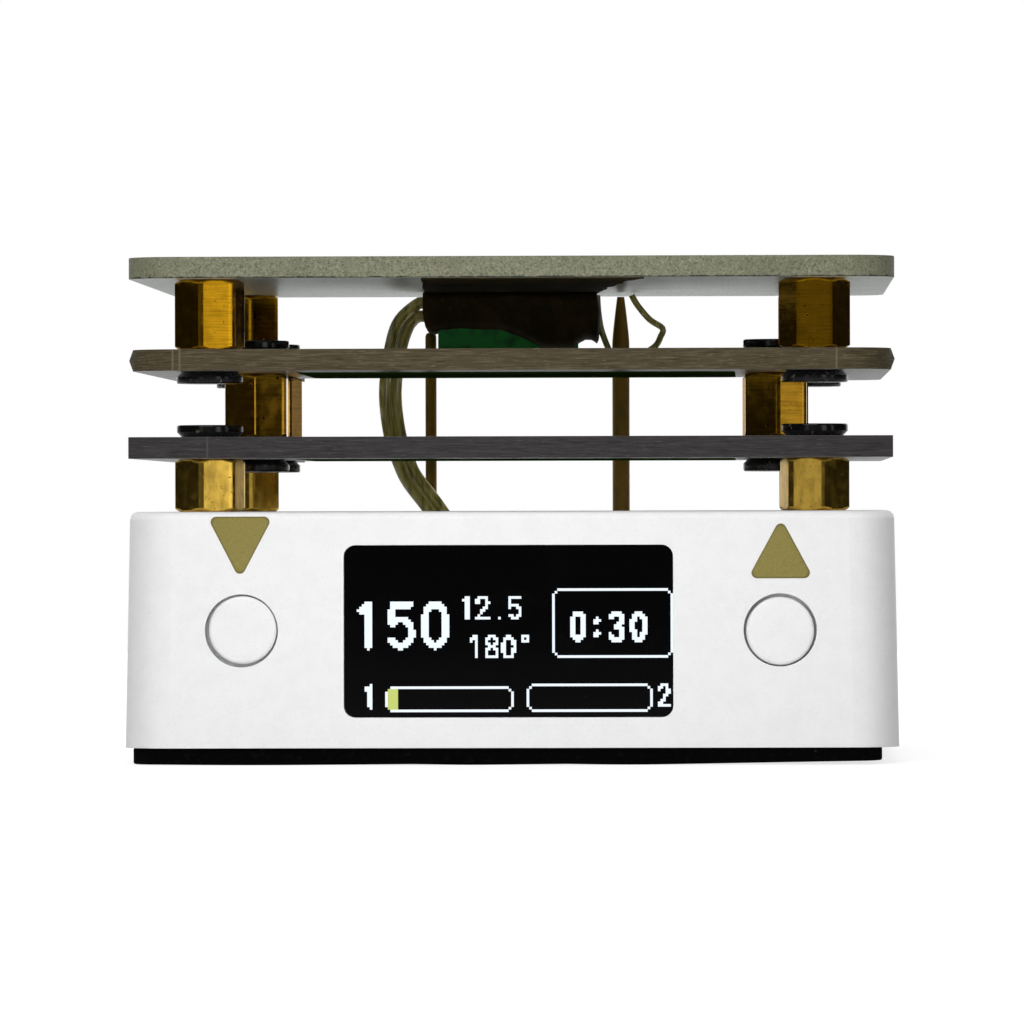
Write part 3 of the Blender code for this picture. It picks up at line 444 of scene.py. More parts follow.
# Varnished circuit board, and matt plastics with faint lighter clouds
green_board = clouded(
    "board_green", screen(4, 130, 36), 0.38,
    [(900, 3, 0.45, 0.7, 1.0, screen(3, 84, 26))], (4000, 2, 0.005 * MM),
)
black_parts, cover_grey, plunger_red = (
    clouded(name, colour, 0.5, [(2600, 3, 0.45, 0.7, 0.6, light)], (5000, 2, 0.006 * MM))
    for name, colour, light in (
        ("black_parts", screen(24, 24, 25), screen(38, 38, 40)),
        ("cover_grey", screen(120, 121, 123), screen(140, 141, 143)),
        ("plunger_red", screen(160, 60, 36), screen(176, 78, 50)),
    )
)
screw_black = black_oxide()
socket_metal = bright_steel()
glass_black = lens_glass()
dots_white = lit_dots("dots_white", screen(238, 247, 255), 1.1)
dots_green = lit_dots("dots_green", screen(212, 226, 120), 0.9)
mark_olive = mark_print()


def piece(name, points, faces, finish, nodes=(), body="body", sharp=35.0):
    """An object from points and faces, merged, with its faces outwards, that rides on a body."""
    mesh = bpy.data.meshes.new(name)
    mesh.from_pydata(np.asarray(points).tolist(), [], [list(map(int, face)) for face in faces])
    shape = bmesh.new()
    shape.from_mesh(mesh)
    bmesh.ops.remove_doubles(shape, verts=shape.verts, dist=2e-8)
    bmesh.ops.recalc_face_normals(shape, faces=shape.faces)
    shape.to_mesh(mesh)
    shape.free()
    mesh.materials.append(finish)
    mesh.shade_smooth()
    mesh.set_sharp_from_angle(angle=math.radians(sharp))
    obj = linked(bpy.data.objects.new(name, mesh))
    if nodes:
        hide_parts(*nodes)
    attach(obj, body)
    return obj


def closed_skin(rings):
    """Points and faces of a skin over a stack of closed rings, with a flat face on each end."""
    rows, columns, _ = rings.shape
    row = np.arange(rows - 1)[:, None] * columns
    column = np.arange(columns)[None]
    beside = (column + 1) % columns
    sides = [row + column, row + beside, row + columns + beside, row + columns + column]
    faces = np.stack(np.broadcast_arrays(*sides), -1).reshape(-1, 4)
    ends = [tuple(range(columns)), tuple(range((rows - 1) * columns, rows * columns))]
    return rings.reshape(-1, 3), [tuple(face) for face in faces] + ends


def turned(profile, sides, axis="Z"):
    """A turned skin: each (radius, height) of the profile, swept round the axis."""
    angle = np.linspace(0, math.tau, sides, endpoint=False)
    radius, height = np.array(profile).T[..., None]
    rings = [radius * np.cos(angle), radius * np.sin(angle), height + 0 * angle]
    if axis == "Y":
        rings = [rings[0], -rings[2], rings[1]]
    return closed_skin(np.stack(rings, -1))


def rounded_outline(width, depth, radius, steps):
    """Points of a rounded rectangle: quarter circles at its four corners, joined by straight sides."""
    quarter = np.linspace(0, math.pi / 2, steps)
    angles = (quarter[None] + np.arange(4)[:, None] * math.pi / 2).ravel()
    x_side = np.repeat([1, -1, -1, 1], steps)
    y_side = np.repeat([1, 1, -1, -1], steps)
    x = x_side * (width / 2 - radius) + radius * np.cos(angles)
    y = y_side * (depth / 2 - radius) + radius * np.sin(angles)
    return np.stack([x, y], -1)


def spaced(outline, spacing):
    """The same closed outline with points added so that no side is longer than the spacing."""
    points = []
    for start, end in zip(outline, np.roll(outline, -1, 0)):
        count = max(1, math.ceil(np.linalg.norm(end - start) / spacing))
        share = np.arange(count)[:, None] / count
        points.append(start + (end - start) * share)
    return np.concatenate(points)


def smooth_path(places, spacing):
    """Points of a Catmull-Rom curve through the places, about a spacing apart."""
    places = np.array(places, float)
    ends = np.concatenate([[2 * places[0] - places[1]], places, [2 * places[-1] - places[-2]]])
    points = []
    for before, start, end, after in zip(ends, ends[1:], ends[2:], ends[3:]):
        count = max(1, round(np.linalg.norm(end - start) / spacing))
        t = (np.arange(count) / count)[:, None]
        line = 2 * start + (end - before) * t
        bend = (2 * before - 5 * start + 4 * end - after) * t**2
        twist = (3 * start - before - 3 * end + after) * t**3
        points.append((line + bend + twist) / 2)
    return np.concatenate([*points, places[-1:]])


def unit(vectors):
    """The same directions at length 1."""
    return vectors / np.linalg.norm(vectors, axis=-1, keepdims=True)


def tube(path, radius, sides):
    """A round skin along a path: a circle at each point, in the plane across the path there."""
    along = unit(np.gradient(path, axis=0))
    first = unit(np.cross(along, (0.0, 1.0, 0.0)))
    second = np.cross(along, first)
    angle = np.linspace(0, math.tau, sides, endpoint=False)[None, :, None]
    around = first[:, None] * np.cos(angle) + second[:, None] * np.sin(angle)
    return closed_skin(path[:, None] + radius * around)


def box_of(node):
    """The lowest and highest corner of a CAD node."""
    low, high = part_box(node)
    return np.array(low), np.array(high)


def dressed(node, finishes, edge, pick=None):
    """A welded copy of a CAD node with fine rounded edges; pick gives a face's finish by its normal."""
    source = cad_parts[node]
    sharp = math.radians(30)
    shape = bmesh.new()
    shape.from_mesh(source.data)
    bmesh.ops.remove_doubles(shape, verts=shape.verts, dist=1e-6)
    flat = math.radians(0.4)
    bmesh.ops.dissolve_limit(shape, angle_limit=flat, verts=shape.verts, edges=shape.edges)
    mesh = bpy.data.meshes.new(f"{node}_dressed")
    shape.to_mesh(mesh)
    shape.free()
    for finish in finishes:
        mesh.materials.append(finish)
    for face in mesh.polygons:
        face.material_index = pick(face) if pick else 0
    mesh.shade_smooth()
    mesh.set_sharp_from_angle(angle=sharp)
    obj = linked(bpy.data.objects.new(f"{node}_skin", mesh))
    bevel = obj.modifiers.new("edges", "BEVEL")
    bevel.width = edge
    bevel.segments = 2
    bevel.limit_method = "ANGLE"
    bevel.angle_limit = sharp
    weights = obj.modifiers.new("weights", "WEIGHTED_NORMAL")
    weights.keep_sharp = True
    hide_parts(node)
    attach(obj, "body")
    return obj


def by_level(face):
    """0 for an upright face, 1 for one that looks down, 2 for one that looks up."""
    return 0 if abs(face.normal.z) < 0.7 else 1 if face.normal.z < 0 else 2


def make_pad():
    """The pad's outline swept upwards; its lower face waves a little and lifts at the right end."""
    low, high = box_of("foot_pad")
    middle = (low + high) / 2
    size = high - low
    outline = spaced(rounded_outline(size[0], size[1], 1.2 * MM, 12), 0.8 * MM)
    rounding = 0.12 * MM
    top_rounding = 0.08 * MM
    wave_height = 0.03 * MM
    lift_height = 0.24 * MM
    rings = []
    for inset, rise in ((rounding, 0.0), (0.3 * rounding, 0.3), (0.0, 1.0), (0.0, -1.0), (0.05 * MM, 0.0)):
        shrink = 1 - 2 * inset / size[:2]
        ring = outline * shrink + middle[:2]
        x = ring[:, 0]
        wave = wave_height * (1 + np.sin(x / (2.1 * MM) + np.sin(x / (5.3 * MM))))
        lift = lift_height * np.clip((x - 8 * MM) / (16 * MM), 0, 1) ** 2
        if len(rings) < 3:
            z = wave + lift + rise * rounding
        else:
            z = np.full(len(x), high[2] + rise * top_rounding)
        rings.append(np.column_stack([ring, z]))
    points, faces = closed_skin(np.array(rings))
    piece("pad", points, faces, rubber, nodes=["foot_pad"], sharp=50)


def hexagon(low_z, high_z, place, turn):
    """A hexagonal bar along Z.

    At each angle its radius is the least of three: to its flats, to its turned corners, and near its
    ends to a 30 degree cone.
    """
    per_face = 14
    angle = np.linspace(0, math.tau, 6 * per_face, endpoint=False)
    apothem = standoff_flats / 2
    rim = apothem / math.cos(math.pi / 6)
    across = apothem / np.cos((angle % (math.pi / 3)) - math.pi / 6)
    across = np.minimum(across, rim - 0.035 * MM)
    edge = rim - standoff_chamfer / math.tan(math.radians(30))
    steps = np.concatenate([np.linspace(0, 1.4, 9) * standoff_chamfer, [4 * standoff_chamfer]])
    heights = np.concatenate([low_z + steps, high_z - steps[::-1]])
    end = np.minimum(heights - low_z, high_z - heights)
    cone = edge + end / math.tan(math.radians(30))
    radius = np.minimum(across[None], cone[:, None])
    x = place[0] + radius * np.cos(angle + turn)
    y = place[1] + radius * np.sin(angle + turn)
    z = np.broadcast_to(heights[:, None], x.shape)
    return closed_skin(np.stack([x, y, z], -1))


def make_standoffs():
    """Three tiers of four; each stands turned by its own angle, in degrees."""
    turns = {"lower": (-15, 15, 12, -8), "middle": (0, 0, -18, 14), "upper": (-15, 30, 10, -12)}
    for tier, tier_turns in turns.items():
        for corner, turn in zip(corners, tier_turns):
            node = f"{tier}_standoff_{corner}"
            low, high = box_of(node)
            base = case_top if tier == "lower" else low[2]
            points, faces = hexagon(base, high[2], (low + high) / 2, math.radians(turn + 30))
            name = f"standoff_{tier}_{corner}"
            piece(name, points, faces, brass_tiers[tier], nodes=[node], sharp=18)


def screw_head(radius, rim, tip, shank):
    """A countersunk head with its top at 0: (radius, height) from the shank's tip up and inwards."""
    round_edge = 0.3 * rim
    corner = [
        (radius - round_edge * (1 - math.cos(a)), -round_edge * (1 - math.sin(a)))
        for a in np.linspace(0, math.pi / 2, 6)
    ]
    cone = [(shank, -tip), (shank, -rim - (radius - shank)), (radius, -rim)]
    inner = [(r, 0.0) for r in np.linspace(radius - 1.4 * round_edge, 0.02 * MM, 26)]
    return cone + corner + inner


def cross_recess(x, y, depth):
    """The driver's cross: two bars that narrow outwards, with steep sides and a deeper middle."""
    bar_half = 0.25 * MM
    bar_wall = 0.06 * MM
    bar_length = 1.08 * MM
    end_wall = 0.10 * MM
    across = np.minimum(np.abs(x), np.abs(y))
    along = np.maximum(np.abs(x), np.abs(y))
    half = bar_half - 0.07 * along
    inside = np.clip((half - across) / bar_wall + 0.5, 0, 1)
    ends = np.clip((bar_length - along) / end_wall, 0, 1)
    return depth * inside * ends * (1 - 0.45 * along / (1.1 * MM))


def make_screws():
    """Turned heads with a driver's cross cut into them; the raised ones are dished."""
    sets = (
        ("heater", 1, flush_head),
        ("middle_top", 1, raised_head),
        ("middle_bottom", -1, raised_head),
        ("lower_top", 1, raised_head),
        ("lower_bottom", -1, raised_head),
    )
    angle = np.linspace(0, math.tau, 72, endpoint=False)
    for order, (group, up, (radius, rim)) in enumerate(sets):
        for number, corner in enumerate(corners):
            node = f"{group}_screw_{corner}"
            low, high = box_of(node)
            middle = (low + high) / 2
            profile = np.array(screw_head(radius, rim, high[2] - low[2], shank_radius))
            reach = profile[:, :1]
            turn = math.radians(17 * number + 31 * order)
            x = reach * np.cos(angle + turn)
            y = reach * np.sin(angle + turn)
            cut = cross_recess(reach * np.cos(angle), reach * np.sin(angle), recess_depth)
            if rim == raised_head[1]:
                cut = cut + dish_depth * np.clip(1 - (reach / (0.8 * radius)) ** 2, 0, 1)
            top = profile[:, 1:] > -1e-9
            z = profile[:, 1:] - top * cut
            level = high[2] if up > 0 else low[2]
            if group == "middle_bottom" and "rear" in corner:
                level += rear_sunk
            rings = np.stack([middle[0] + x, middle[1] + up * y, level + up * z], -1)
            points, faces = closed_skin(rings)
            name = f"screw_{group}_{corner}"
            piece(name, points, faces, screw_black, nodes=[node], sharp=38)


def make_caps():
    """Each cap is turned about Y: a flat face, a round rim, the barrel and the flange behind the wall."""
    for side in ("left", "right"):
        node = f"{side}_button_cap"
        low, high = box_of(node)
        centre = (low + high) / 2
        flange = (high[0] - low[0]) / 2
        barrel = flange - flange_step
        length = high[1] - low[1]
        face = [(r, length) for r in np.linspace(0.02 * MM, barrel - cap_fillet, 6)]
        rim = [
            (barrel - cap_fillet * (1 - math.sin(a)), length - cap_fillet * (1 - math.cos(a)))
            for a in np.linspace(0, math.pi / 2, 8)[1:]
        ]
        back = [(barrel, flange_step), (flange, flange_step), (flange, 0.0), (0.02 * MM, 0.0)]
        points, faces = turned(face + rim + back, 128, axis="Y")
        right, up = cap_play[side]
        points = points + np.array((centre[0] + right, high[1], centre[2] + up))
        piece(
            f"cap_{side}", points, faces, white_cap,
            body=f"{side}_button", nodes=[node], sharp=32,
        )


def arc(centre_x, centre_y, reach_x, reach_y, start, end):
    """Places along an ellipse's arc; angles in degrees, clockwise from the right, y downwards."""
    angle = np.radians(np.linspace(start, end, 28))
    return [(centre_x + reach_x * math.cos(a), centre_y + reach_y * math.sin(a)) for a in angle]


figures = {
    "0": [arc(0.5, 0.5, 0.5, 0.5, 0, 360)],
    "1": [[(0.22, 0.16), (0.58, 0.0), (0.58, 1.0)]],
    "2": [arc(0.5, 0.28, 0.46, 0.28, 190, 385) + [(0.02, 1.0), (1.0, 1.0)]],
    "3": [arc(0.46, 0.25, 0.44, 0.25, 200, 450) + arc(0.46, 0.74, 0.5, 0.26, 270, 515)],
    "5": [[(0.92, 0.0), (0.12, 0.0), (0.06, 0.46)] + arc(0.46, 0.68, 0.5, 0.32, 230, 505)],
    "8": [arc(0.5, 0.25, 0.42, 0.25, 0, 360), arc(0.5, 0.74, 0.5, 0.26, 0, 360)],
    ".": [[(0.5, 0.96), (0.5, 1.0)]],
    ":": [[(0.5, 0.26), (0.5, 0.32)], [(0.5, 0.76), (0.5, 0.82)]],
}


def draw_line(lit, places, width):
    """Lights every dot whose middle lies within half a width of the line through the places."""
    row, column = np.mgrid[0:dot_rows, 0:dot_columns] + 0.5
    for (x0, y0), (x1, y1) in zip(places, places[1:]):
        run_x = x1 - x0
        run_y = y1 - y0
        length = max(run_x**2 + run_y**2, 1e-9)
        share = np.clip(((column - x0) * run_x + (row - y0) * run_y) / length, 0, 1)
        away = np.hypot(column - x0 - share * run_x, row - y0 - share * run_y)
        lit |= away <= width / 2


def draw_number(lit, text, left, top, pitch, width, height, stroke):
    """Draws figures side by side; a figure's lines run between the middles of its outer strokes."""
    across = width - stroke
    down = height - stroke
    for place, sign in enumerate(text):
        start = left + place * pitch + stroke / 2
        for line in figures[sign]:
            places = [(start + x * across, top + stroke / 2 + y * down) for x, y in line]
            draw_line(lit, places, stroke)


def draw_frame(lit, left, top, right, bottom):
    """A box outline with its corners cut off."""
    cut = 2.0
    stroke = 0.9
    places = [
        (left + cut, top), (right - cut, top), (right, top + cut), (right, bottom - cut),
        (right - cut, bottom), (left + cut, bottom), (left, bottom - cut), (left, top + cut),
        (left + cut, top),
    ]
    draw_line(lit, places, stroke)


def display_dots():
    """The lit dots: plain numbers, a boxed timer and two level bars, on 64 rows of 128.

    All measures are in dots. A number has its left and top, pitch, width, height and stroke.
    """
    lit = np.zeros((dot_rows, dot_columns), bool)
    numbers = (
        ("150", 3.4, 19.8, 13.2, 11.4, 18.8, 2.7),
        ("12.5", 44.8, 17.6, 6.3, 5.6, 9.6, 1.35),
        ("180", 48.0, 33.0, 6.6, 5.7, 9.4, 1.35),
        ("0", 87.6, 23.6, 8.6, 6.9, 12.4, 2.2),
        (":", 95.0, 23.6, 8.6, 6.9, 12.4, 2.2),
        ("30", 102.6, 23.6, 8.6, 6.9, 12.4, 2.2),
        ("1", 6.6, 52.3, 6.3, 6.2, 9.4, 1.5),
        ("2", 121.6, 51.9, 6.3, 5.2, 9.4, 1.5),
    )
    for number in numbers:
        draw_number(lit, *number)
    for box in ((81.5, 15.5, 127.5, 41.5), (16.5, 53.5, 65.5, 62.5), (71.5, 52.5, 119.5, 62.5)):
        draw_frame(lit, *box)
    draw_line(lit, arc(70.5, 34.4, 1.3, 1.3, 0, 360), 1.1)
    return lit


def dot_mesh(lit, left, top, pitch, y):
    """One small square for each lit dot, on the plane at y."""
    row, column = np.nonzero(lit)
    middle_x = left + (column + 0.5) * pitch
    middle_z = top - (row + 0.5) * pitch
    half = pitch / 2
    step_x = np.array((-half, half, half, -half))
    step_z = np.array((-half, -half, half, half))
    x = middle_x[:, None] + step_x
    z = middle_z[:, None] + step_z
    points = np.stack([x, np.full_like(x, y), z], -1).reshape(-1, 3)
    return points, np.arange(len(points)).reshape(-1, 4)


def make_display():
    """The lit dots as thin squares; the first cells of the left bar have a piece and colour of their own."""
    low, high = box_of("display_lens")
    centre = (low + high) / 2
    left = centre[0] - dots_width / 2
    top = centre[2] + dots_top
    numbers = display_dots()
    row, column = np.mgrid[0:dot_rows, 0:dot_columns]
    level = (row > 53) & (row < 62) & (column > 16) & (column < 21)
    sets = (("dots_numbers", numbers & ~level, dots_white), ("dots_level", level, dots_green))
    for name, lit, finish in sets:
        points, faces = dot_mesh(lit, left, top, dots_width / dot_columns, low[1] - dot_proud)
        squares = piece(name, points, faces, finish)
        thick = squares.modifiers.new("thickness", "SOLIDIFY")
        thick.thickness = 0.8 * dot_proud
        thick.offset = 0


def front_y(z):
    """The housing's drafted front face at a height."""
    return -(case_half_top + case_draft * (case_top - z) / (case_top - case_floor))


def rounded_triangle(tip, base_left, base_right, radius):
    """A triangle's outline with each corner replaced by an arc of the radius."""
    places = [np.array(tip), np.array(base_left), np.array(base_right)]
    outline = []
    for i, here in enumerate(places):
        before = unit(places[i - 1] - here)
        after = unit(places[(i + 1) % 3] - here)
        half = math.acos(np.clip(before @ after, -1, 1)) / 2
        centre = here + unit(before + after) * radius / math.sin(half)
        first = here + before * radius / math.tan(half) - centre
        last = here + after * radius / math.tan(half) - centre
        start = math.atan2(first[1], first[0])
        sweep = math.remainder(math.atan2(last[1], last[0]) - start, math.tau)
        angles = start + sweep * np.linspace(0, 1, 12)
        outline.append(centre + radius * np.column_stack([np.cos(angles), np.sin(angles)]))
    return np.concatenate(outline)


def make_marks():
    """A raised triangle on the front over each button, shrunk ring by ring towards its middle."""
    marks = {
        "mark_left": ((-17.59, 12.05), (-19.72, 16.18), (-15.42, 16.18)),
        "mark_right": ((17.55, 16.05), (15.40, 12.10), (19.68, 12.10)),
    }
    corner = 0.36 * MM
    levels = (
        (1.0, -0.004, 1.0), (1.0, 0.016, 1.0), (0.985, 0.022, 0.9),
        (0.88, 0.022, 0.2), (0.5, 0.022, 0.0), (0.02, 0.022, 0.0),
    )
    for name, places in marks.items():
        tip, first, second = (np.array(place) * MM for place in places)
        outline = rounded_triangle(tip, first, second, corner)
        centre = outline.mean(0)
        rings = []
        rim = []
        for share, proud, value in levels:
            ring = centre + (outline - centre) * share
            y = front_y(ring[:, 1]) - proud * MM
            rings.append(np.column_stack([ring[:, 0], y, ring[:, 1]]))
            rim += [value] * len(ring)
        points, faces = closed_skin(np.array(rings))
        mark = piece(name, points, faces, mark_olive, sharp=60)
        values = np.array(rim)[nearest(mark, points)]
        layer = mark.data.attributes.new("rim", "FLOAT", "POINT")
        layer.data.foreach_set("value", values.astype(np.float32))


def nearest(obj, points):
    """For each vertex of the object, the number of the given point that it came from."""
    places = np.empty(len(obj.data.vertices) * 3, np.float32)
    obj.data.vertices.foreach_get("co", places)
    gaps = np.linalg.norm(places.reshape(-1, 1, 3) - np.asarray(points)[None], axis=2)
    return gaps.argmin(1)


def make_sealant():
    """A block of sealant under the heater plate, and the thin film round it.

    Cross-sections stand side by side from left to right. Each is a squarish ellipse whose top is the
    plate and whose lower side follows the drooping edge, so that it hangs in front of the board.
    """
    low, high = box_of("sealant_block")
    top = high[2]
    droop = (
        (-7.02, 29.95), (-6.94, 29.40), (-6.78, 28.95), (-6.45, 28.72), (-6.15, 28.84), (-5.80, 29.08),
        (-3.60, 29.10), (-1.60, 28.98), (-0.40, 28.60), (0.50, 28.10), (1.30, 27.68), (2.90, 27.55),
        (3.35, 27.70), (3.65, 28.10), (4.15, 28.40), (4.60, 28.40), (4.95, 28.12), (5.14, 28.50),
        (5.20, 30.20),
    )
    front_face = 9.3 * MM
    squareness = 0.45
    edge_x, edge_z = np.array(droop).T * MM
    first = [0.0, 0.004, 0.012, 0.025]
    last = [0.98, 0.99, 0.997, 1.0]
    share = np.concatenate([first, np.linspace(0.04, 0.97, 84), last])
    angle = np.linspace(0, math.tau, 56, endpoint=False)
    around = np.sign(np.cos(angle)) * np.abs(np.cos(angle)) ** squareness
    upright = np.sign(np.sin(angle)) * np.abs(np.sin(angle)) ** squareness
    x = edge_x[0] + (edge_x[-1] - edge_x[0]) * share
    bottom = np.interp(x, edge_x, edge_z) + 0.03 * MM * np.sin(x / (0.41 * MM))
    swell = np.clip(1 - np.abs(2 * share - 1) ** 7, 0, 1) ** (1 / 3)
    front = front_face + 0.35 * MM * (1 - swell) + 0.07 * MM * np.sin(x / (0.9 * MM))
    rear = high[1] - 0.6 * MM * (1 - swell)
    half_z = (top - bottom) / 2
    ring_x = np.broadcast_to(x[:, None], (len(x), len(angle)))
    ring_x = ring_x - 0.25 * MM * share[:, None] ** 5 * (1 + upright) / 2
    ring_y = (front + rear)[:, None] / 2 + (rear - front)[:, None] / 2 * around
    ring_z = top - half_z[:, None] * (1 - upright)
    points, faces = closed_skin(np.stack([ring_x, ring_y, ring_z], -1))
    film_points, film_faces = film_skin(low, high)
    faces = faces + [tuple(np.array(face) + len(points)) for face in film_faces]
    points = np.concatenate([points, film_points])
    piece("sealant", points, faces, sealant_black, nodes=["sealant_block"], sharp=60)


def film_skin(low, high):
    """A thin sheet on the plate, from near its front edge back to the block.

    It narrows to the rear, and its two sides wander as sums of two sines of Y. Its lower face is
    uneven, by a product of a sine of X and one of Y.
    """
    left_side = -5.75
    right_side = 8.75
    thickness = 0.13 * MM
    sunk = 0.012 * MM
    y = np.linspace(low[1] - 2.8 * MM, 12.0 * MM, 150)
    back = np.clip((y + 25 * MM) / (33 * MM), 0, 1)
    wander = np.sin(y / (2.9 * MM)) + 0.4 * np.sin(y / (1.3 * MM))
    start = (left_side - 1.1 * back + 0.04 * wander) * MM
    ragged = np.sin(y / (2.3 * MM)) + 0.4 * np.sin(y / (1.1 * MM) + 1)
    end = (right_side - 3.5 * back**0.7 + 0.10 * ragged) * MM
    end = np.minimum(end, high[0] + 0.5 * MM)
    share = np.concatenate([np.linspace(0, 1, 24), np.linspace(1, 0, 24)])
    below = np.repeat([0, 1], 24)
    x = start[:, None] + (end - start)[:, None] * share
    uneven = 0.7 + 0.3 * np.sin(x / (0.9 * MM)) * np.sin(y[:, None] / (1.3 * MM))
    z = high[2] + sunk - below * uneven * thickness
    rings = np.stack([x, np.broadcast_to(y[:, None], x.shape), z], -1)
    return closed_skin(rings)


def make_masks():
    """Varnish films in the middle of each shield's two faces: rounded rectangles, inset ring by ring."""
    width = 29.0 * MM
    depth = 25.6 * MM
    middle = np.array((0.1 * MM, -4.1 * MM))
    thick = 0.012 * MM
    outline = spaced(rounded_outline(width, depth, 0.8 * MM, 8), 1.5 * MM)
    steps = ((1.0, -0.5), (1.0, 0.6), (0.998, 1.0))
    for shield, slot in shield_slots.items():
        low, high = box_of(shield)
        for side, level, out in (("under", low[2], -1), ("top", high[2], 1)):
            rings = [
                np.column_stack([outline * share + middle, np.full(len(outline), level + out * rise * thick)])
                for share, rise in steps
            ]
            points, faces = closed_skin(np.array(rings))
            piece(f"mask_{shield}_{side}", points, faces, shield_green, sharp=60)


def lead_paths():
    """The two heater leads' middle lines: a bow to the left, then level into the sealant."""
    foot = box_of("power_lead_a")[0][2] / MM
    route = (
        (-4.70, foot), (-4.70, 8.5), (-4.75, 12.0), (-5.10, 14.6), (-6.30, 16.6), (-7.83, 18.63),
        (-8.42, 19.82), (-9.08, 21.83), (-9.39, 24.76), (-9.01, 27.82), (-8.38, 29.63),
    )
    places = np.array([(x * MM, lead_y, z * MM) for x, z in route])
    along = np.gradient(places, axis=0)
    normal = unit(np.column_stack([along[:, 2], 0 * along[:, 0], -along[:, 0]]))
    normal[normal[:, 0] < 0] *= -1
    paths = {}
    for name, side, entry_z in (("power_lead_a", -1, 30.95 * MM), ("power_lead_b", 1, 30.05 * MM)):
        beside = places + side * (normal * lead_apart + np.array((0, lead_aside, 0)))
        y = lead_y + side * lead_aside
        entry = np.array([(lead_end_x - lead_radius, y, entry_z), (lead_end_x, y, entry_z)])
        paths[name] = np.concatenate([beside, entry])
    return paths


def make_leads():
    """The heater leads: tubes along their paths."""
    for name, places in lead_paths().items():
        points, faces = tube(smooth_path(places, 0.35 * MM), lead_radius, 28)
        piece(f"{name}_sleeve", points, faces, sleeve_olive, nodes=[name], sharp=60)


def make_sensor_leads():
    """Two thin tubes from the film: the right one is kinked, the left one runs straight."""
    film = box_of("sensor_lead_right")[1][2] / MM
    right_x = box_of("sensor_lead_right")[0][0] / MM
    left_x = box_of("sensor_lead_left")[1][0] / MM
    routes = {
        "sensor_lead_right": (
            (7.35, film), (7.76, 30.81), (8.60, 29.82), (9.50, 29.20), (9.37, 28.64), (8.88, 27.87),
            (right_x + 0.12, 27.0),
        ),
        "sensor_lead_left": ((4.95, film), (5.05, 30.2), (5.30, 28.9), (left_x - 0.12, 27.0)),
    }
    for name, route in routes.items():
        places = np.array([(x * MM, wire_y, z * MM) for x, z in route])
        points, faces = tube(smooth_path(places, 0.2 * MM), wire_radius, 20)
        piece(f"{name}_wire", points, faces, sleeve_olive, nodes=[name], sharp=60)


def make_pins():
    """Turned pins: a plain one with a rounded top, and a probe with a collar that narrows to its tip."""
    low, high = box_of("sensor_pin")
    radius = (high[0] - low[0]) / 2
    plain = [
        (radius, low[2]), (radius, high[2] - 0.3 * MM), (0.8 * radius, high[2] - 0.08 * MM),
        (0.3 * radius, high[2]),
    ]
    pin("pin_left", "sensor_pin", plain, 40)
    low, high = box_of("probe_pin")
    radius = (high[0] - low[0]) / 2
    taper = high[2] - 3.2 * MM
    tip = 0.25 * MM
    collar = 20.35 * MM
    share = np.linspace(0, 1, 14)
    narrowing = [(radius + (tip - radius) * s**1.2, taper + (high[2] - taper) * s) for s in share]
    grooves = [
        (radius, low[2]), (radius, collar - 0.2 * MM), (0.9 * radius, collar - 0.15 * MM),
        (0.9 * radius, collar + 0.15 * MM), (radius, collar + 0.2 * MM),
    ]
    pin("pin_right", "probe_pin", grooves + narrowing, 48)


def pin(name, node, profile, sides):
    """A turned pin on its node's axis."""
    low, high = box_of(node)
    centre = (low + high) / 2
    points, faces = turned(profile, sides)
    points = points + np.array((centre[0], centre[1], 0))
    piece(name, points, faces, pin_bronze, nodes=[node], sharp=50)


def finish_nodes():
    """CAD nodes whose shape is right as it is take their finishes here; the other ones are black."""
    looks = {"bottom_cover": cover_grey, "usb_socket": socket_metal}
    looks |= dict.fromkeys(("main_board", "front_board", "terminal_board"), green_board)
    looks |= dict.fromkeys(("display_lens", "display_panel"), glass_black)
    looks |= dict.fromkeys(("left_switch_plunger", "right_switch_plunger"), plunger_red)
    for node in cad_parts.values():
        finish = looks.get(node.name, black_parts)
        node.data.materials.clear()
        node.data.materials.append(finish)


def make_lamp(name, place, target, size, power, mirrored=False):
    """A soft rectangular lamp that the camera doesn't see; metal and glass show it only if mirrored."""
    light = bpy.data.lights.new(name, "AREA")
    light.shape = "RECTANGLE"
    light.size = size[0]
    light.size_y = size[1]
    light.energy = power
    lamp = linked(bpy.data.objects.new(name, light))
    lamp.location = place
    lamp.rotation_euler = (Vector(target) - Vector(place)).to_track_quat("-Z", "Y").to_euler()
    lamp.visible_camera = False
    lamp.visible_glossy = mirrored


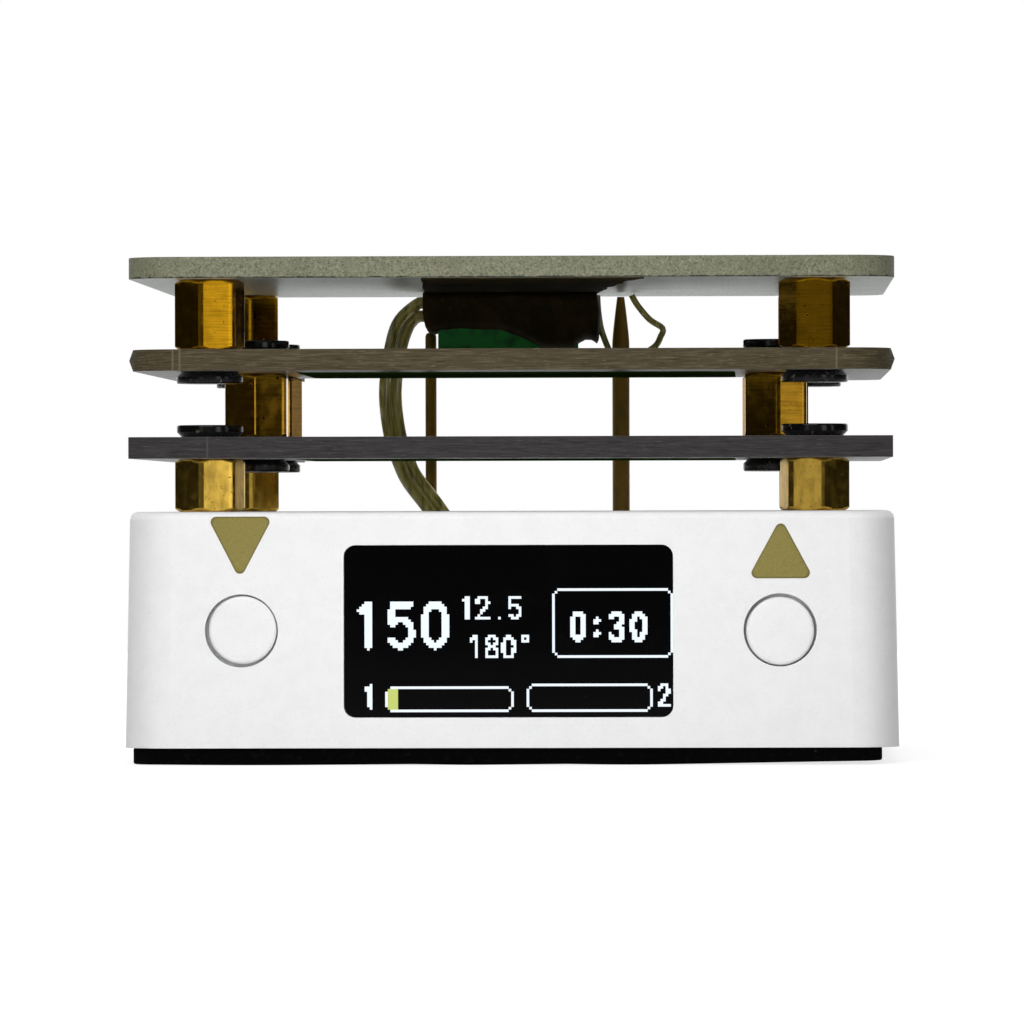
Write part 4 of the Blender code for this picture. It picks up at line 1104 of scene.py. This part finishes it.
def make_world():
    """White where the camera looks past the object.

    Mirrored, it is white behind the object, faintly lit straight in front of it and dark elsewhere,
    but for the three upright bands. Its diffuse light comes more from above than from the sides.
    """
    world = bpy.data.worlds.new("studio")
    bpy.context.scene.world = world
    world.use_nodes = True
    tree = world.node_tree
    tree.nodes.clear()

    def add(kind, inputs=None, **settings):
        return add_node(tree, kind, inputs, **settings)

    def ramp(value, start, end, low, high):
        """Low where the value is start, high where it is end, and even between them."""
        inputs = {"Value": value, "From Min": start, "From Max": end, "To Min": low, "To Max": high}
        return add("MapRange", inputs).outputs[0]

    light = add("LightPath").outputs
    direction = add("SeparateXYZ", {0: add("TexCoord").outputs["Generated"]}).outputs
    behind = ramp(direction["Y"], 0.72, 0.98, 0.012, 1.0)
    front = ramp(direction["Y"], -0.90, -1.0, 0.0, 0.10)
    mirrored = maths(tree, "ADD", behind, front)
    ahead = maths(tree, "MULTIPLY", direction["Y"], -1.0)
    angle = maths(tree, "ARCTAN2", direction["X"], ahead)
    low_down = ramp(maths(tree, "ABSOLUTE", direction["Z"]), 0.55, 0.30, 0.0, 1.0)
    for middle, half, strength in bands:
        aside = maths(tree, "ABSOLUTE", maths(tree, "ADD", angle, -math.radians(middle)))
        band = ramp(aside, math.radians(half + band_edge), math.radians(half), 0.0, strength)
        mirrored = maths(tree, "ADD", mirrored, maths(tree, "MULTIPLY", band, low_down))
    glossy = maths(tree, "MAXIMUM", light["Is Glossy Ray"], light["Is Transmission Ray"])
    soft = ramp(direction["Z"], 0.0, 0.8, 0.05, 0.46)
    fill = add("Mix", {0: glossy, 2: soft, 3: mirrored}, data_type="FLOAT").outputs[0]
    seen = add("Mix", {0: light["Is Camera Ray"], 2: fill, 3: 1.0}, data_type="FLOAT").outputs[0]
    background = add("Background", {"Color": (1, 1, 1, 1), "Strength": seen})
    tree.links.new(background.outputs[0], add("OutputWorld").inputs[0])


def make_floor():
    """A grey floor that glows to the camera, so that it looks white there but for the shadow."""
    half = 0.4
    grey = 0.36
    brightness = 0.74
    mesh = bpy.data.meshes.new("floor")
    signs = ((-1, -1), (1, -1), (1, 1), (-1, 1))
    mesh.from_pydata([(x * half, y * half, 0) for x, y in signs], [], [(0, 1, 2, 3)])
    floor = linked(bpy.data.objects.new("floor", mesh))
    material = bpy.data.materials.new("floor_white")
    material.use_nodes = True
    tree = material.node_tree
    shader = tree.nodes["Principled BSDF"]
    shader.inputs["Base Color"].default_value = (grey, grey, grey, 1)
    shader.inputs["Roughness"].default_value = 0.9
    shader.inputs["Specular IOR Level"].default_value = 0.0
    shader.inputs["Emission Color"].default_value = (1, 1, 1, 1)
    seen = add_node(tree, "LightPath").outputs["Is Camera Ray"]
    tree.links.new(maths(tree, "MULTIPLY", seen, brightness), shader.inputs["Emission Strength"])
    mesh.materials.append(material)


def make_light():
    """One small lamp close to the front, and large ones all round; places in metres, power in watts."""
    aim = (0, 0, 0.018)
    make_lamp("front", (-0.004, -0.110, 0.013), (0, 0, 0.013), (0.05, 0.04), 0.0515)
    make_lamp("key", (-0.10, -0.35, 0.45), aim, (0.40, 0.30), 0.9, mirrored=True)
    make_lamp("side_left", (-0.42, 0.34, 0.22), aim, (0.30, 0.30), 1.8)
    make_lamp("side_right", (0.42, 0.38, 0.22), aim, (0.30, 0.30), 1.5)
    make_lamp("rear", (0.10, 0.55, 0.35), aim, (0.40, 0.40), 1.0)
    make_world()
    make_floor()


case_low, case_high = box_of("case_shell")
case_floor = case_low[2]
case_top = case_high[2]
case_draft = case_high[0] - case_half_top

finish_nodes()
dressed("case_shell", [white_case], 0.07 * MM)
for plate, looks, slot, rounding in (
    ("heater_plate", [heater_edge, heater_under, heater_top], "blasted_aluminium", 0.05 * MM),
    ("middle_plate", [middle_edge, shield_plain, shield_plain], "brown_laminate", 0.03 * MM),
    ("lower_plate", [lower_edge, shield_plain, shield_plain], "grey_laminate", 0.03 * MM),
):
    dressed(plate, looks, rounding, by_level)
make_pad()
make_standoffs()
make_screws()
make_caps()
make_display()
make_marks()
make_sealant()
make_masks()
make_leads()
make_sensor_leads()
make_pins()
make_light()
